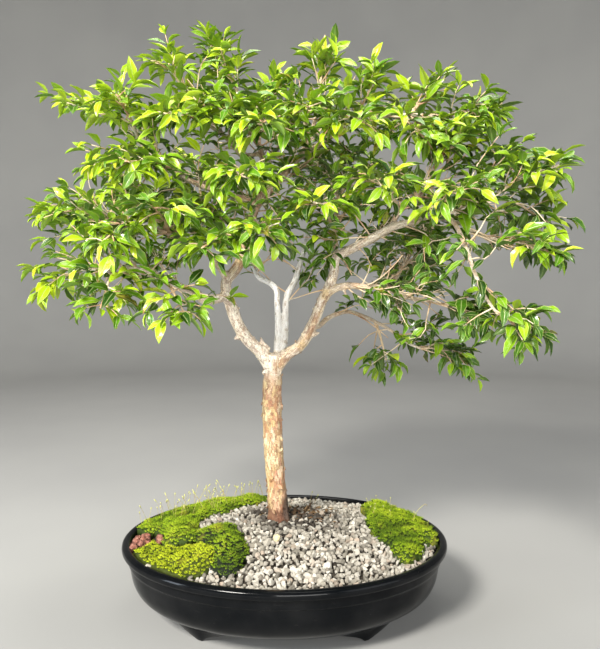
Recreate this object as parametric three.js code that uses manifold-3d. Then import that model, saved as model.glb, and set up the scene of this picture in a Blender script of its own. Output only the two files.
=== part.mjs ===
// A jaboticaba bonsai: a small tree with a smooth flaking trunk that forks low into three limbs
// under a wide, open crown of opposite leaves. It grows in an oval black pot on four bracket feet,
// filled with soil and dressed with pumice gravel, moss cushions and a few lava pebbles.
// Millimetres, +Z up, origin on the floor under the middle of the pot, -Y is the front.

import * as THREE from 'three'
import { mergeVertices } from 'three/addons/utils/BufferGeometryUtils.js'
import Module from 'manifold-3d'

const wasm = await Module()
wasm.setup()

// Driving dimensions of the pot
const POT_LENGTH = 355
const POT_WIDTH = 270
const POT_HEIGHT = 80
const POT_SIDES = 32
const HALF_LENGTH = POT_LENGTH / 2
const WAIST = (POT_LENGTH - POT_WIDTH) / 2
const CORE = 118
const FLOOR_UNDER = 9
const FLOOR_TOP = 14
const HOLE_X = 62
const HOLE_RADIUS = 11
const FOOT_X = 83
const FOOT_REACH = 0.34
const FOOT_FLAT = 0.2
const WING_RISE = 12
const SCREEN_SIZE = 36
const SCREEN_THICK = 1

// Driving dimensions of what fills the pot
const GROUND_EDGE = 75.5
const GROUND_RISE = 20.5
const GROUND_LONG = 166.5
const GROUND_WIDE = 124
const WALL_INSET = 11.2
const SOIL_DEPTH = 4.5
const GAP = 0.4
const STONE_PITCH = 13.5
const MOSS_PITCH = 12
const MOSS_SHOULDER = 22
const TRUNK_X = -7
const TRUNK_Y = 6
const TRUNK_FOOT = 58
const TRUNK_CLEAR = 14.4

// Driving dimensions of the crown
const LEAF_LENGTH = 38
const LEAF_WIDTH = 14
const LEAF_KEEL = 1.1
const LEAF_NODE = 2.5
const TWIG_NODE = 3
const TWIG_TIP = 0.9
const CLEARANCE = 0.5
const UP = new THREE.Vector3(0, 0, 1)
const SLIVER = 0.1

// A repeatable draw between 0 and 1 from two whole numbers
function draw(seed, index) {
  let h = Math.imul(seed + 101, 0x85ebca6b) ^ Math.imul(index + 1, 0xc2b2ae35)
  h ^= h >>> 15
  h = Math.imul(h, 0x2c1b3c6d)
  h ^= h >>> 12
  h = Math.imul(h, 0x297a2d39)
  h ^= h >>> 15
  return (h >>> 0) / 4294967296
}

// A closed solid from a geometry, with its shared vertices merged and its collapsed faces dropped
function solidOf(geometry) {
  const bare = geometry.clone()
  bare.deleteAttribute('normal')
  bare.deleteAttribute('uv')
  const merged = mergeVertices(bare, 1e-3)
  const index = merged.index.array
  const faces = []
  for (let i = 0; i < index.length; i += 3) {
    const [a, b, c] = [index[i], index[i + 1], index[i + 2]]
    if (a !== b && b !== c && c !== a) faces.push(a, b, c)
  }
  return new wasm.Manifold(new wasm.Mesh({
    numProp: 3,
    vertProperties: new Float32Array(merged.attributes.position.array),
    triVerts: new Uint32Array(faces)
  }))
}

function geometryOf(solid) {
  const mesh = solid.getMesh()
  const geometry = new THREE.BufferGeometry()
  geometry.setAttribute('position', new THREE.BufferAttribute(new Float32Array(mesh.vertProperties), 3))
  geometry.setIndex(new THREE.BufferAttribute(new Uint32Array(mesh.triVerts), 1))
  geometry.computeVertexNormals()
  return geometry
}

// Only the largest body of a solid, so that no loose scrap stays in a node, less its slivers
function largestBody(solid) {
  const bodies = solid.simplify(SLIVER).decompose()
  return bodies.reduce((best, body) => (body.volume() > best.volume() ? body : best))
}

// Moves every vertex of a geometry by a function of its place
function remap(geometry, place) {
  const position = geometry.attributes.position
  const vertex = new THREE.Vector3()
  for (let i = 0; i < position.count; i++) {
    vertex.fromBufferAttribute(position, i)
    const moved = place(vertex)
    position.setXYZ(i, moved.x, moved.y, moved.z)
  }
  return geometry
}

const mix = (a, b, t) => a + (b - a) * t

// The pot

// A lathe turned on +Z whose rings are ovals: outside the core each ring is the same inset all round
function ovalLathe(profile) {
  const points = profile.map(([radius, height]) => new THREE.Vector2(radius, height))
  return remap(new THREE.LatheGeometry(points, POT_SIDES), ({ x, y, z }) => {
    const radius = Math.hypot(x, z)
    const depth = radius > CORE ? radius - WAIST : radius * (CORE - WAIST) / CORE
    const turn = Math.atan2(x, z)
    return { x: radius * Math.cos(turn), y: depth * Math.sin(turn), z: y }
  })
}

const outside = (inset, height) => [HALF_LENGTH - inset, height]

// A bracket foot follows the oval base: flat at its middle, and its two wings rise to the body
function footGeometry(sideX, sideY) {
  const stations = [-1, -0.7, -0.45, -FOOT_FLAT, FOOT_FLAT, 0.45, 0.7, 1]
  const middle = Math.acos(FOOT_X / (HALF_LENGTH - 42))
  const box = new THREE.BoxGeometry(1, 1, 1, stations.length - 1, 1, 1)
  const foot = remap(box, ({ x, y, z }) => {
    const station = stations[Math.round((x + 0.5) * (stations.length - 1))]
    const inset = y < 0 ? 34 : 49
    const top = y < 0 ? 18.5 : 13.5
    const wing = Math.max(0, Math.abs(station) - FOOT_FLAT) / (1 - FOOT_FLAT)
    const turn = middle + FOOT_REACH * station
    return {
      x: (HALF_LENGTH - inset) * Math.cos(turn),
      y: (HALF_LENGTH - WAIST - inset) * Math.sin(turn),
      z: z > 0 ? top : WING_RISE * Math.pow(wing, 0.75)
    }
  })
  const solid = solidOf(foot)
  let turned = sideX < 0 ? solid.mirror([1, 0, 0]) : solid
  if (sideY < 0) turned = turned.mirror([0, 1, 0])
  return turned
}

function uprightRod(x, y, radius, from, to) {
  const rod = new THREE.CylinderGeometry(radius, radius, to - from, 14)
  rod.rotateX(Math.PI / 2)
  rod.translate(x, y, (from + to) / 2)
  return solidOf(rod)
}

function potSolid() {
  let pot = solidOf(ovalLathe([
    [0, FLOOR_UNDER], outside(56, FLOOR_UNDER), outside(42, 13.5), outside(28, 20), outside(17, 29),
    outside(10, 44), outside(8, 58), outside(6.5, 60), outside(6.5, 70), outside(0.6, 72),
    outside(0, 77), outside(2.5, POT_HEIGHT), outside(7, POT_HEIGHT), outside(10, 77),
    outside(13, 50), outside(24, 27), outside(46, 15), [0, FLOOR_TOP]
  ]))
  for (const sideX of [-1, 1]) {
    for (const sideY of [-1, 1]) pot = pot.add(footGeometry(sideX, sideY))
    pot = pot.subtract(uprightRod(sideX * HOLE_X, 0, HOLE_RADIUS, 0, 30))
  }
  return pot
}

// A square plastic screen that lies on the pot's floor over each drain hole
function screenSolid(x) {
  const cell = SCREEN_SIZE / 4
  const middle = FLOOR_TOP + 1 + GAP + SCREEN_THICK / 2
  const block = (size, height, dx, dy) => {
    const box = new THREE.BoxGeometry(size, size, height)
    box.translate(x + dx, dy, middle)
    return solidOf(box)
  }
  let screen = block(SCREEN_SIZE, SCREEN_THICK, 0, 0)
  for (const column of [-1, 0, 1]) {
    for (const row of [-1, 0, 1]) {
      screen = screen.subtract(block(cell - 1.6, 2 * SCREEN_THICK, column * cell, row * cell))
    }
  }
  return screen
}

// The ground

// Height of the ground: a low mound that is highest round the trunk
function ground(x, y) {
  const reach = (x / GROUND_LONG) ** 2 + (y / GROUND_WIDE) ** 2
  return GROUND_EDGE + GROUND_RISE * Math.pow(Math.max(0, 1 - reach), 1.3)
}

// What lies between the pot's walls up to a depth under the ground, grown sideways by a margin
function fillSolid(depth, margin) {
  const topMark = 200
  const rim = HALF_LENGTH - WALL_INSET + margin
  const lathe = ovalLathe([
    [0, FLOOR_TOP + GAP], outside(46 + GAP - margin, 15 + GAP), outside(24 + GAP - margin, 27 + GAP),
    outside(13 + GAP - margin, 50 + GAP),
    [rim, topMark], [rim * 0.8, topMark], [rim * 0.5, topMark], [0, topMark]
  ])
  return solidOf(remap(lathe, ({ x, y, z }) => ({ x, y, z: z === topMark ? ground(x, y) - depth : z })))
}

// A block whose top is a lattice of three-sided facets: one vertex in three is a peak
function reliefSolid(pitch, peak, dip, seed, height) {
  const columns = Math.ceil(560 / pitch)
  const rows = Math.ceil(270 / (pitch * 0.866))
  const block = new THREE.BoxGeometry(columns, rows, 1, columns, rows, 1)
  return solidOf(remap(block, (point) => {
    const column = Math.round(point.x + columns / 2)
    const row = Math.round(point.y + rows / 2)
    const place = row * 4096 + column
    const shift = pitch * 0.16
    const x = (column - columns / 2 - (row - rows / 2) / 2) * pitch + shift * (draw(seed, place) * 2 - 1)
    const y = (row - rows / 2) * pitch * 0.866 + shift * (draw(seed + 1, place) * 2 - 1)
    const isPeak = (column + row) % 3 === 0
    const bump = isPeak ? peak * (0.6 + 0.8 * draw(seed + 2, place)) : -dip * draw(seed + 2, place)
    return { x, y, z: point.z > 0 ? height(x, y) + bump : 20 }
  }))
}

function closedCurve(points) {
  return new THREE.CatmullRomCurve3(points.map(([x, y]) => new THREE.Vector3(x, y, 0)), true, 'centripetal')
}

// A prism of a closed outline, grown outwards by a margin
function prismSolid(points, margin) {
  const ring = closedCurve(points).getPoints(points.length * 2)
  ring.pop()
  const shape = new THREE.Shape(ring.map(({ x, y }) => new THREE.Vector2(x, y)))
  const centre = ring.reduce((sum, point) => sum.add(point), new THREE.Vector3()).divideScalar(ring.length)
  const prism = new THREE.ExtrudeGeometry(shape, { depth: 120, bevelEnabled: false })
  return solidOf(remap(prism, ({ x, y, z }) => {
    const away = new THREE.Vector3(x - centre.x, y - centre.y, 0)
    const grown = 1 + margin / away.length()
    return { x: centre.x + away.x * grown, y: centre.y + away.y * grown, z: z + 25 }
  }))
}

// Moss cushions: outlines by hand on the ground, some past the pot's wall, and how high each crowns
const MOSS = {
  moss_back_left: {
    outline: [[-172, 12], [-166, 46], [-146, 86], [-108, 114], [-62, 130], [-30, 130], [-22, 96], [-26, 62],
      [-50, 51], [-73, 26], [-88, 6], [-101, -16], [-114, -19], [-126, -9], [-142, 6]],
    crown: 11, colour: 0x5f8a1e, seed: 31
  },
  moss_front_left: {
    outline: [[-162, -50], [-142, -41], [-124, -37], [-112, -34], [-99, -42], [-88, -58], [-77, -80],
      [-76, -98], [-88, -112], [-112, -112], [-136, -92], [-154, -72]],
    crown: 8, colour: 0x9fb52a, seed: 41
  },
  moss_dark_left: {
    outline: [[-88, -32], [-80, -19], [-64, -18], [-48, -34], [-38, -60], [-40, -86], [-50, -99],
      [-64, -94], [-69, -80], [-79, -56]],
    crown: 12, colour: 0x3f6a1a, seed: 51
  },
  moss_right: {
    outline: [[91, 57], [104, 88], [130, 116], [160, 84], [176, 40], [178, 0], [160, -26], [147, -38],
      [135, -64], [120, -72], [109, -54], [98, -34], [92, 0]],
    crown: 12, colour: 0x6c9a20, seed: 61
  }
}

// Bare soil between the left cushions, where the lava pebbles lie
const BARE_SOIL = [[-174, -52], [-142, -43], [-124, -39], [-110, -36], [-99, -18], [-112, -15], [-125, -7],
  [-141, 9], [-174, 16]]

// A cushion rises steeply from its edge and is nearly level inside
function mossSolid({ outline, crown, seed }) {
  const edge = closedCurve(outline).getPoints(outline.length * 4)
  const height = (x, y) => {
    const toEdge = Math.min(...edge.map((point) => Math.hypot(point.x - x, point.y - y)))
    const toWall = 5 + 140 * (1 - Math.hypot(x / GROUND_LONG, y / GROUND_WIDE))
    const inside = Math.max(0, Math.min(toEdge, toWall, MOSS_SHOULDER) / MOSS_SHOULDER)
    return ground(x, y) - 2 + (crown + 2) * Math.sqrt(inside * (2 - inside))
  }
  const relief = reliefSolid(MOSS_PITCH, 1.6, 0.8, seed, height)
  return largestBody(relief.intersect(prismSolid(outline, 0)).intersect(withinWalls).subtract(soilLifted))
}

// Angular stones sunk into each other, standing on the bare soil
function pebbleSolid(places, seed) {
  const stones = places.map(([x, y, size], index) => {
    const stone = new THREE.IcosahedronGeometry(size, 0)
    stone.rotateX(draw(seed, index) * 3)
    stone.rotateY(draw(seed + 1, index) * 3)
    stone.scale(1, 1, 0.85)
    stone.translate(x, y, ground(x, y) - SOIL_DEPTH + size * 0.55)
    return solidOf(stone)
  })
  return largestBody(stones.reduce((pile, stone) => pile.add(stone)).subtract(soilLifted))
}

const LAVA_CLUSTER = [[-157, -19, 7], [-149, -25, 7], [-154, -9, 6.5], [-146, -14, 7], [-153, -32, 6]]
const LAVA_SINGLE = [[-132, -20, 6.5], [-127, -23, 5]]

// The wood

// A tapered tube along a curve, closed at both ends, with radii given at even steps of its length
function tubeSolid(curve, radii, sides, steps) {
  const frames = curve.computeFrenetFrames(steps, false)
  const rod = new THREE.CylinderGeometry(1, 1, 1, sides, steps)
  return solidOf(remap(rod, ({ x, y, z }) => {
    const step = Math.round((y + 0.5) * steps)
    const at = (step / steps) * (radii.length - 1)
    const low = Math.min(Math.floor(at), radii.length - 2)
    const radius = mix(radii[low], radii[low + 1], at - low)
    return curve.getPointAt(step / steps)
      .addScaledVector(frames.normals[step], z * radius)
      .addScaledVector(frames.binormals[step], x * radius)
  }))
}

const curveOf = (points) => new THREE.CatmullRomCurve3(
  points.map((point) => (point.isVector3 ? point : new THREE.Vector3(...point))), false, 'centripetal')

// Trunk and limbs: routes chosen by hand, radii from root to tip, sides and steps of the faceting
const LIMBS = {
  trunk: {
    route: [[TRUNK_X, TRUNK_Y, TRUNK_FOOT], [TRUNK_X, TRUNK_Y, 95], [-10, 4, 140], [-13, 2, 185],
      [-14, 0, 225], [-13, 0, 258], [-12, -1, 280]],
    radii: [13.5, 12.2, 10.4, 10, 10.6, 10.4, 9], sides: 9, steps: 8
  },
  left: {
    route: [[-12, -1, 262], [-24, -3, 281], [-39, -8, 297], [-49, -12, 313], [-55, -15, 330],
      [-61, -18, 348]],
    radii: [7.6, 6.8, 6.4, 6.2], sides: 7, steps: 5
  },
  leader: {
    route: [[-60, -17, 340], [-61, -17, 359], [-51, -10, 373], [-44, -5, 388], [-41, 0, 402], [-38, 8, 420],
      [-31, 15, 443], [-24, 22, 470], [-25, 28, 497], [-34, 30, 526], [-46, 26, 552]],
    radii: [6, 5.3, 4.9, 4.4, 3.6, 2.6, 1.8], sides: 6, steps: 8
  },
  left_low: {
    route: [[-58, -17, 346], [-71, -24, 341], [-82, -32, 340], [-90, -38, 348], [-106, -48, 355],
      [-137, -56, 369], [-167, -42, 374], [-204, -14, 372]],
    radii: [4.8, 4.2, 3.6, 2.8, 1.8], sides: 5, steps: 7
  },
  left_spur: {
    route: [[-61, -16, 362], [-69, -24, 378], [-82, -40, 392], [-104, -56, 404], [-140, -58, 414],
      [-184, -28, 424]],
    radii: [3.4, 3, 2.4, 1.7], sides: 4, steps: 5
  },
  left_back: {
    route: [[-41, 0, 398], [-56, 32, 420], [-84, 66, 440], [-118, 90, 450], [-150, 102, 456]],
    radii: [3.6, 3, 2.4, 1.7], sides: 4, steps: 4
  },
  left_up: {
    route: [[-31, 15, 443], [-56, 0, 452], [-88, -16, 460], [-122, -20, 480], [-152, -8, 506],
      [-184, 8, 532]],
    radii: [3.4, 3, 2.4, 1.7], sides: 4, steps: 5
  },
  top_left: {
    route: [[-24, 22, 470], [-42, 12, 490], [-62, 0, 512], [-86, -8, 540], [-104, -12, 562]],
    radii: [3, 2.6, 2.2, 1.7], sides: 4, steps: 3
  },
  centre: {
    route: [[-31, 14, 440], [-16, 22, 460], [2, 24, 480], [20, 24, 504], [32, 22, 532], [38, 20, 560]],
    radii: [3.8, 3.2, 2.6, 1.7], sides: 5, steps: 4
  },
  right_top: {
    route: [[10, 24, 490], [38, 22, 510], [70, 14, 526], [104, 8, 536], [138, 8, 538], [170, 2, 534]],
    radii: [3, 2.6, 2.2, 1.7], sides: 4, steps: 4
  },
  middle: {
    route: [[-6, 2, 272], [-1, 12, 292], [0, 20, 306], [0, 26, 322], [1, 32, 337], [3, 37, 346],
      [10, 46, 358], [15, 56, 374], [21, 66, 394], [27, 80, 420], [32, 94, 450]],
    radii: [4.6, 4.2, 4, 3.2, 2.6, 1.8], sides: 6, steps: 8
  },
  middle_left: {
    route: [[-9, 2, 272], [-8, 14, 298], [-8, 20, 317], [-9, 25, 336], [-10, 28, 350], [-18, 34, 358],
      [-30, 43, 364], [-37, 52, 376], [-42, 64, 392], [-48, 80, 416], [-50, 92, 440]],
    radii: [3.8, 3.6, 3.4, 3, 2.4, 1.8], sides: 5, steps: 8
  },
  right: {
    route: [[-12, 0, 262], [2, -3, 280], [14, -8, 288], [22, -12, 298], [30, -16, 314], [38, -20, 334],
      [43, -21, 347]],
    radii: [7.4, 6.2, 5.6, 5.2], sides: 7, steps: 5
  },
  right_up: {
    route: [[42, -21, 342], [48, -20, 355], [52, -18, 368], [55, -16, 385], [66, -20, 391], [85, -30, 401],
      [109, -38, 414], [135, -46, 420], [162, -52, 425], [188, -54, 434], [214, -58, 440]],
    radii: [5.6, 5, 4.6, 4, 3.2, 2.4, 1.7], sides: 6, steps: 8
  },
  right_stub: {
    route: [[55, -16, 382], [55, -4, 401], [56, 12, 424], [60, 32, 450], [74, 54, 476]],
    radii: [3, 2.6, 2.2, 1.7], sides: 4, steps: 4
  },
  right_fork: {
    route: [[106, -37, 412], [118, -34, 430], [132, -30, 444], [144, -30, 458], [152, -34, 474]],
    radii: [3.2, 2.8, 2.2, 1.7], sides: 4, steps: 3
  },
  right_spiny: {
    route: [[166, -53, 426], [180, -62, 412], [194, -70, 404], [210, -76, 398]],
    radii: [2.6, 2.2, 1.6], sides: 4, steps: 2
  },
  right_drop: {
    route: [[160, -52, 425], [163, -78, 416], [166, -92, 404], [169, -106, 388], [174, -116, 366],
      [182, -121, 346], [192, -122, 332]],
    radii: [2.8, 2.4, 2, 1.6], sides: 4, steps: 5
  },
  right_mid: {
    route: [[42, -21, 344], [52, -22, 351], [64, -25, 355], [84, -24, 354], [107, -20, 353], [124, -20, 344],
      [146, -24, 340], [166, -28, 336]],
    radii: [4.2, 3.6, 3, 2.4, 1.7], sides: 5, steps: 6
  },
  right_back: {
    route: [[104, -20, 354], [120, 4, 362], [130, 26, 374], [146, 52, 392], [172, 78, 418]],
    radii: [2.8, 2.4, 2, 1.6], sides: 4, steps: 4
  },
  right_low: {
    route: [[30, -16, 311], [38, -2, 312], [46, 12, 318], [58, 25, 323], [72, 37, 325], [86, 46, 321],
      [104, 53, 313], [122, 58, 303], [142, 60, 288], [160, 58, 280]],
    radii: [3.2, 2.8, 2.4, 2, 1.6], sides: 4, steps: 7
  }
}

// Leafy sprays: the limb each grows from, how far along it, its middle, and its half length
const SPRAYS = [
  ['crown_left', 'top_left', 1, [-125, -14, 582], 42],
  ['crown_leader', 'leader', 1, [-72, 8, 600], 44],
  ['crown_left_back', 'leader', 0.86, [-103, 62, 566], 44],
  ['crown_middle', 'leader', 0.93, [-16, 46, 572], 42],
  ['crown_centre', 'centre', 1, [41, 20, 590], 46],
  ['crown_right', 'right_top', 0.45, [93, 4, 567], 46],
  ['crown_right_far', 'right_top', 0.8, [156, 20, 560], 46],
  ['crown_right_tip', 'right_top', 1, [208, -10, 535], 44],
  ['upper_left_tip', 'left_up', 1, [-222, 20, 548], 48],
  ['upper_left', 'left_up', 0.78, [-160, -46, 536], 44],
  ['upper_left_middle', 'top_left', 0.5, [-106, -62, 520], 44],
  ['upper_middle', 'leader', 0.78, [-58, -52, 526], 42],
  ['upper_front', 'centre', 0.4, [-17, -78, 508], 44],
  ['upper_front_right', 'centre', 0.62, [24, -70, 524], 44],
  ['upper_right', 'right_top', 0.25, [70, -74, 512], 44],
  ['upper_right_middle', 'right_top', 0.66, [132, -56, 505], 44],
  ['upper_right_far', 'right_fork', 1, [170, -48, 496], 44],
  ['side_left_back', 'left_up', 0.66, [-206, 46, 494], 48],
  ['side_left', 'left_up', 0.5, [-142, -72, 474], 44],
  ['side_left_tip', 'left_spur', 1, [-246, 14, 434], 48],
  ['low_left_front', 'left_spur', 0.72, [-162, -88, 402], 44],
  ['middle_left', 'left_spur', 0.5, [-114, -100, 424], 42],
  ['inner_left', 'left_back', 0.3, [-92, -22, 436], 38],
  ['front_left', 'leader', 0.3, [-70, -98, 392], 40],
  ['front_upper', 'leader', 0.56, [-38, -88, 458], 42],
  ['front_centre', 'leader', 0.36, [-16, -100, 404], 40],
  ['low_left_tip', 'left_low', 1, [-254, 32, 360], 46],
  ['low_left', 'left_low', 0.76, [-170, -84, 344], 44],
  ['low_left_inner', 'left_low', 0.46, [-94, -98, 336], 36],
  ['back_left', 'left_back', 1, [-196, 106, 466], 46],
  ['back_left_middle', 'left_back', 0.66, [-112, 106, 500], 44],
  ['back_centre', 'middle_left', 1, [-48, 108, 476], 42],
  ['back_right', 'middle', 1, [38, 108, 498], 44],
  ['front_right', 'right_stub', 0.28, [32, -86, 432], 42],
  ['front_right_middle', 'right_fork', 0.3, [86, -94, 452], 44],
  ['inner_right', 'right_stub', 1, [106, 80, 500], 46],
  ['back_right_far', 'right_back', 1, [206, 100, 452], 46],
  ['right_front', 'right_up', 0.7, [160, -104, 440], 42],
  ['right_upper', 'right_up', 0.84, [226, -24, 488], 46],
  ['right_tip_upper', 'right_up', 0.93, [252, -72, 466], 44],
  ['right_tip', 'right_up', 1, [256, -44, 424], 44],
  ['right_lower', 'right_spiny', 1, [242, -96, 388], 40],
  ['drop_tip', 'right_drop', 1, [214, -114, 318], 40],
  ['drop_inner', 'right_mid', 1, [197, -34, 330], 42],
  ['low_right_back', 'right_back', 0.5, [160, 92, 376], 42],
  ['low_right_tip', 'right_low', 1, [194, 58, 276], 44],
  ['low_right_front', 'right_low', 0.62, [118, 70, 274], 34]
]

const curves = {}
for (const [name, limb] of Object.entries(LIMBS)) curves[name] = curveOf(limb.route)

// The route of a spray from the middle of its limb out through its own middle
function sprayRoute([, limb, at, middle, reach]) {
  const start = curves[limb].getPointAt(at)
  const centre = new THREE.Vector3(...middle)
  const away = centre.clone().sub(start)
  const heading = away.clone().normalize()
  const neck = start.clone().addScaledVector(away, Math.max(0.35, 1 - 0.75 * reach / away.length()))
  neck.z += 0.08 * away.length()
  const tip = centre.clone().addScaledVector(heading, 0.3 * reach)
  tip.z -= 0.05 * reach
  return curveOf([start, neck, centre, tip])
}

const limbTubes = Object.entries(LIMBS).map(([name, { radii, sides, steps }]) =>
  tubeSolid(curves[name], radii, sides, steps))

// The leafy sprays

// Axes across a heading: sideways to the right of it, and its own upward one
function acrossOf(heading) {
  const side = new THREE.Vector3().crossVectors(UP, heading).normalize()
  return { side, lift: new THREE.Vector3().crossVectors(heading, side) }
}

// Three corners round a point of a twig, one of them on top
function ringOf(centre, heading, radius) {
  const { side, lift } = acrossOf(heading)
  return [90, 210, 330].map((degrees) => {
    const turn = THREE.MathUtils.degToRad(degrees)
    return centre.clone()
      .addScaledVector(side, radius * Math.cos(turn))
      .addScaledVector(lift, radius * Math.sin(turn))
  })
}

// Cross-sections of a blade from its base to its drawn-out tip: two rims and a keel along the midrib,
// arched, and drooping towards the tip
function bladeSections(base, heading, length, width, droop, keel) {
  const { side, lift } = acrossOf(heading)
  const place = (along, across, high) => base.clone()
    .addScaledVector(heading, along * length)
    .addScaledVector(side, across * width)
    .addScaledVector(lift, high + length * (0.16 * along - droop * along * along))
  const section = (along, half) => [place(along, half, keel / 2), place(along, -half, keel / 2),
    place(along, 0, -keel / 2)]
  return [section(0.3, 0.42), section(0.68, 0.36), [place(1, 0, 0)]]
}

// One closed skin, in which every twig and leaf is drawn out of a facet of what it grows from
class Skin {
  constructor(ring) {
    this.corners = [...ring]
    this.faces = [[2, 1, 0], [0, 1, 2]]
  }

  // Draws a facet out through cross-sections and gives back the facets of each stretch and the new end
  drawOut(face, sections) {
    let from = this.faces[face]
    const stretches = []
    let end = face
    for (const section of sections) {
      const first = this.corners.length
      this.corners.push(...section)
      const ring = section.length === 1 ? [first, first, first] : this.nearestTurn(from, first)
      const stretch = []
      for (let k = 0; k < 3; k++) {
        const next = (k + 1) % 3
        for (const facet of this.sideOf(from[k], from[next], ring[next], ring[k])) {
          stretch.push(this.faces.push(facet) - 1)
        }
      }
      stretches.push(stretch)
      from = ring
      this.faces[end] = null
      if (section.length > 1) end = this.faces.push(ring) - 1
    }
    return { stretches, end }
  }

  // Two facets between four corners, folded so that they bulge outwards, or one where the last two meet
  sideOf(a, b, c, d) {
    if (c === d) return [[a, b, c]]
    const plane = new THREE.Plane().setFromCoplanarPoints(this.corners[a], this.corners[b], this.corners[c])
    return plane.distanceToPoint(this.corners[d]) < 0 ? [[a, b, c], [a, c, d]] : [[a, b, d], [b, c, d]]
  }

  // The order of a new ring's corners that twists least from the last one
  nearestTurn(from, first) {
    const twist = (shift) => from.reduce((sum, corner, k) =>
      sum + this.corners[corner].distanceToSquared(this.corners[first + (k + shift) % 3]), 0)
    const shift = [0, 1, 2].reduce((best, turn) => (twist(turn) < twist(best) ? turn : best), 0)
    return [0, 1, 2].map((k) => first + (k + shift) % 3)
  }

  centreOf(face) {
    return this.faces[face].reduce((sum, corner) => sum.add(this.corners[corner]), new THREE.Vector3())
      .divideScalar(3)
  }

  normalOf(face) {
    const [a, b, c] = this.faces[face].map((corner) => this.corners[corner])
    return new THREE.Triangle(a, b, c).getNormal(new THREE.Vector3())
  }

  // The facet of a stretch that looks most to one side
  facetTowards(stretch, direction) {
    const free = stretch.filter((face) => this.faces[face])
    return free.reduce((best, face) =>
      (this.normalOf(face).dot(direction) > this.normalOf(best).dot(direction) ? face : best))
  }

  solid() {
    return new wasm.Manifold(new wasm.Mesh({
      numProp: 3,
      vertProperties: new Float32Array(this.corners.flatMap((corner) => corner.toArray())),
      triVerts: new Uint32Array(this.faces.filter((face) => face).flat())
    }))
  }
}

function skinOf(ring, sections) {
  const skin = new Skin(ring)
  skin.drawOut(1, sections)
  return skin.solid()
}

function touches(solid, others) {
  const box = solid.boundingBox()
  return others.some(({ body, bounds }) => {
    for (let axis = 0; axis < 3; axis++) {
      if (box.min[axis] > bounds.max[axis] || box.max[axis] < bounds.min[axis]) return false
    }
    return !body.intersect(solid).isEmpty()
  })
}

const bodyOf = (solid) => ({ body: solid, bounds: solid.boundingBox() })

// Draws a leaf out of a facet at the first try that is clear of the others
function growLeaf(skin, face, heading, seed, others) {
  const base = skin.centreOf(face)
  const length = LEAF_LENGTH * (0.85 + 0.3 * draw(seed, 0))
  const droop = 0.3 + 0.25 * draw(seed, 1)
  for (let attempt = 0; attempt < 6; attempt++) {
    const swing = Math.ceil(attempt / 2) * (attempt % 2 ? 1 : -1)
    const along = heading.clone().addScaledVector(UP, 0.5 * draw(seed, 2) - 0.2 + 0.3 * swing).normalize()
    const start = base.clone().addScaledVector(along, 2 * CLEARANCE)
    const test = skinOf(ringOf(start, along, CLEARANCE),
      bladeSections(start, along, length, LEAF_WIDTH + 2 * CLEARANCE, droop, LEAF_KEEL + 2 * CLEARANCE))
    if (touches(test, others)) continue
    skin.drawOut(face, bladeSections(base, along, length, LEAF_WIDTH, droop, LEAF_KEEL))
    others.push(bodyOf(test))
    return
  }
}

// The leaves at a twig's end: a pair set against each other, and one straight on
function growTuft(skin, pairStretch, endFace, heading, seed, others) {
  const { side } = acrossOf(heading)
  for (const turn of [1, -1]) {
    const face = skin.facetTowards(pairStretch, side.clone().multiplyScalar(turn).addScaledVector(UP, 0.4))
    const along = heading.clone().multiplyScalar(0.4).addScaledVector(side, turn * 0.92).normalize()
    growLeaf(skin, face, along, seed + turn, others)
  }
  growLeaf(skin, endFace, heading, seed + 5, others)
}

// A side twig from a facet, at the first try that is clear of the others
function growSideTwig(skin, face, heading, length, seed, others) {
  const root = skin.centreOf(face)
  for (let attempt = 0; attempt < 4; attempt++) {
    const swing = Math.ceil(attempt / 2) * (attempt % 2 ? 1 : -1)
    const along = heading.clone().addScaledVector(UP, 0.35 * draw(seed, 0) - 0.05 + 0.35 * swing).normalize()
    const at = (distance) => root.clone().addScaledVector(along, distance)
    const test = skinOf(ringOf(at(2 * CLEARANCE), along, TWIG_TIP + CLEARANCE),
      [ringOf(at(length), along, TWIG_TIP + CLEARANCE)])
    if (touches(test, others)) continue
    const rings = [ringOf(at(length - LEAF_NODE), along, TWIG_TIP), ringOf(at(length), along, TWIG_TIP)]
    const { stretches, end } = skin.drawOut(face, rings)
    growTuft(skin, stretches[1], end, along, seed + 20, others)
    return
  }
}

// How far along its route a spray can start and still be clear of the limb that it grows from
function rootGap(route, radius, limbs) {
  const length = route.getLength()
  for (let distance = 0.6; distance < 20; distance += 0.15) {
    const ringAt = (along) => ringOf(route.getPointAt(along / length), route.getTangentAt(along / length),
      radius + GAP / 2)
    if (!touches(skinOf(ringAt(distance - GAP), [ringAt(distance + 4)]), limbs)) return distance / length
  }
  throw new Error('a spray finds no clear place to start')
}

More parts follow.
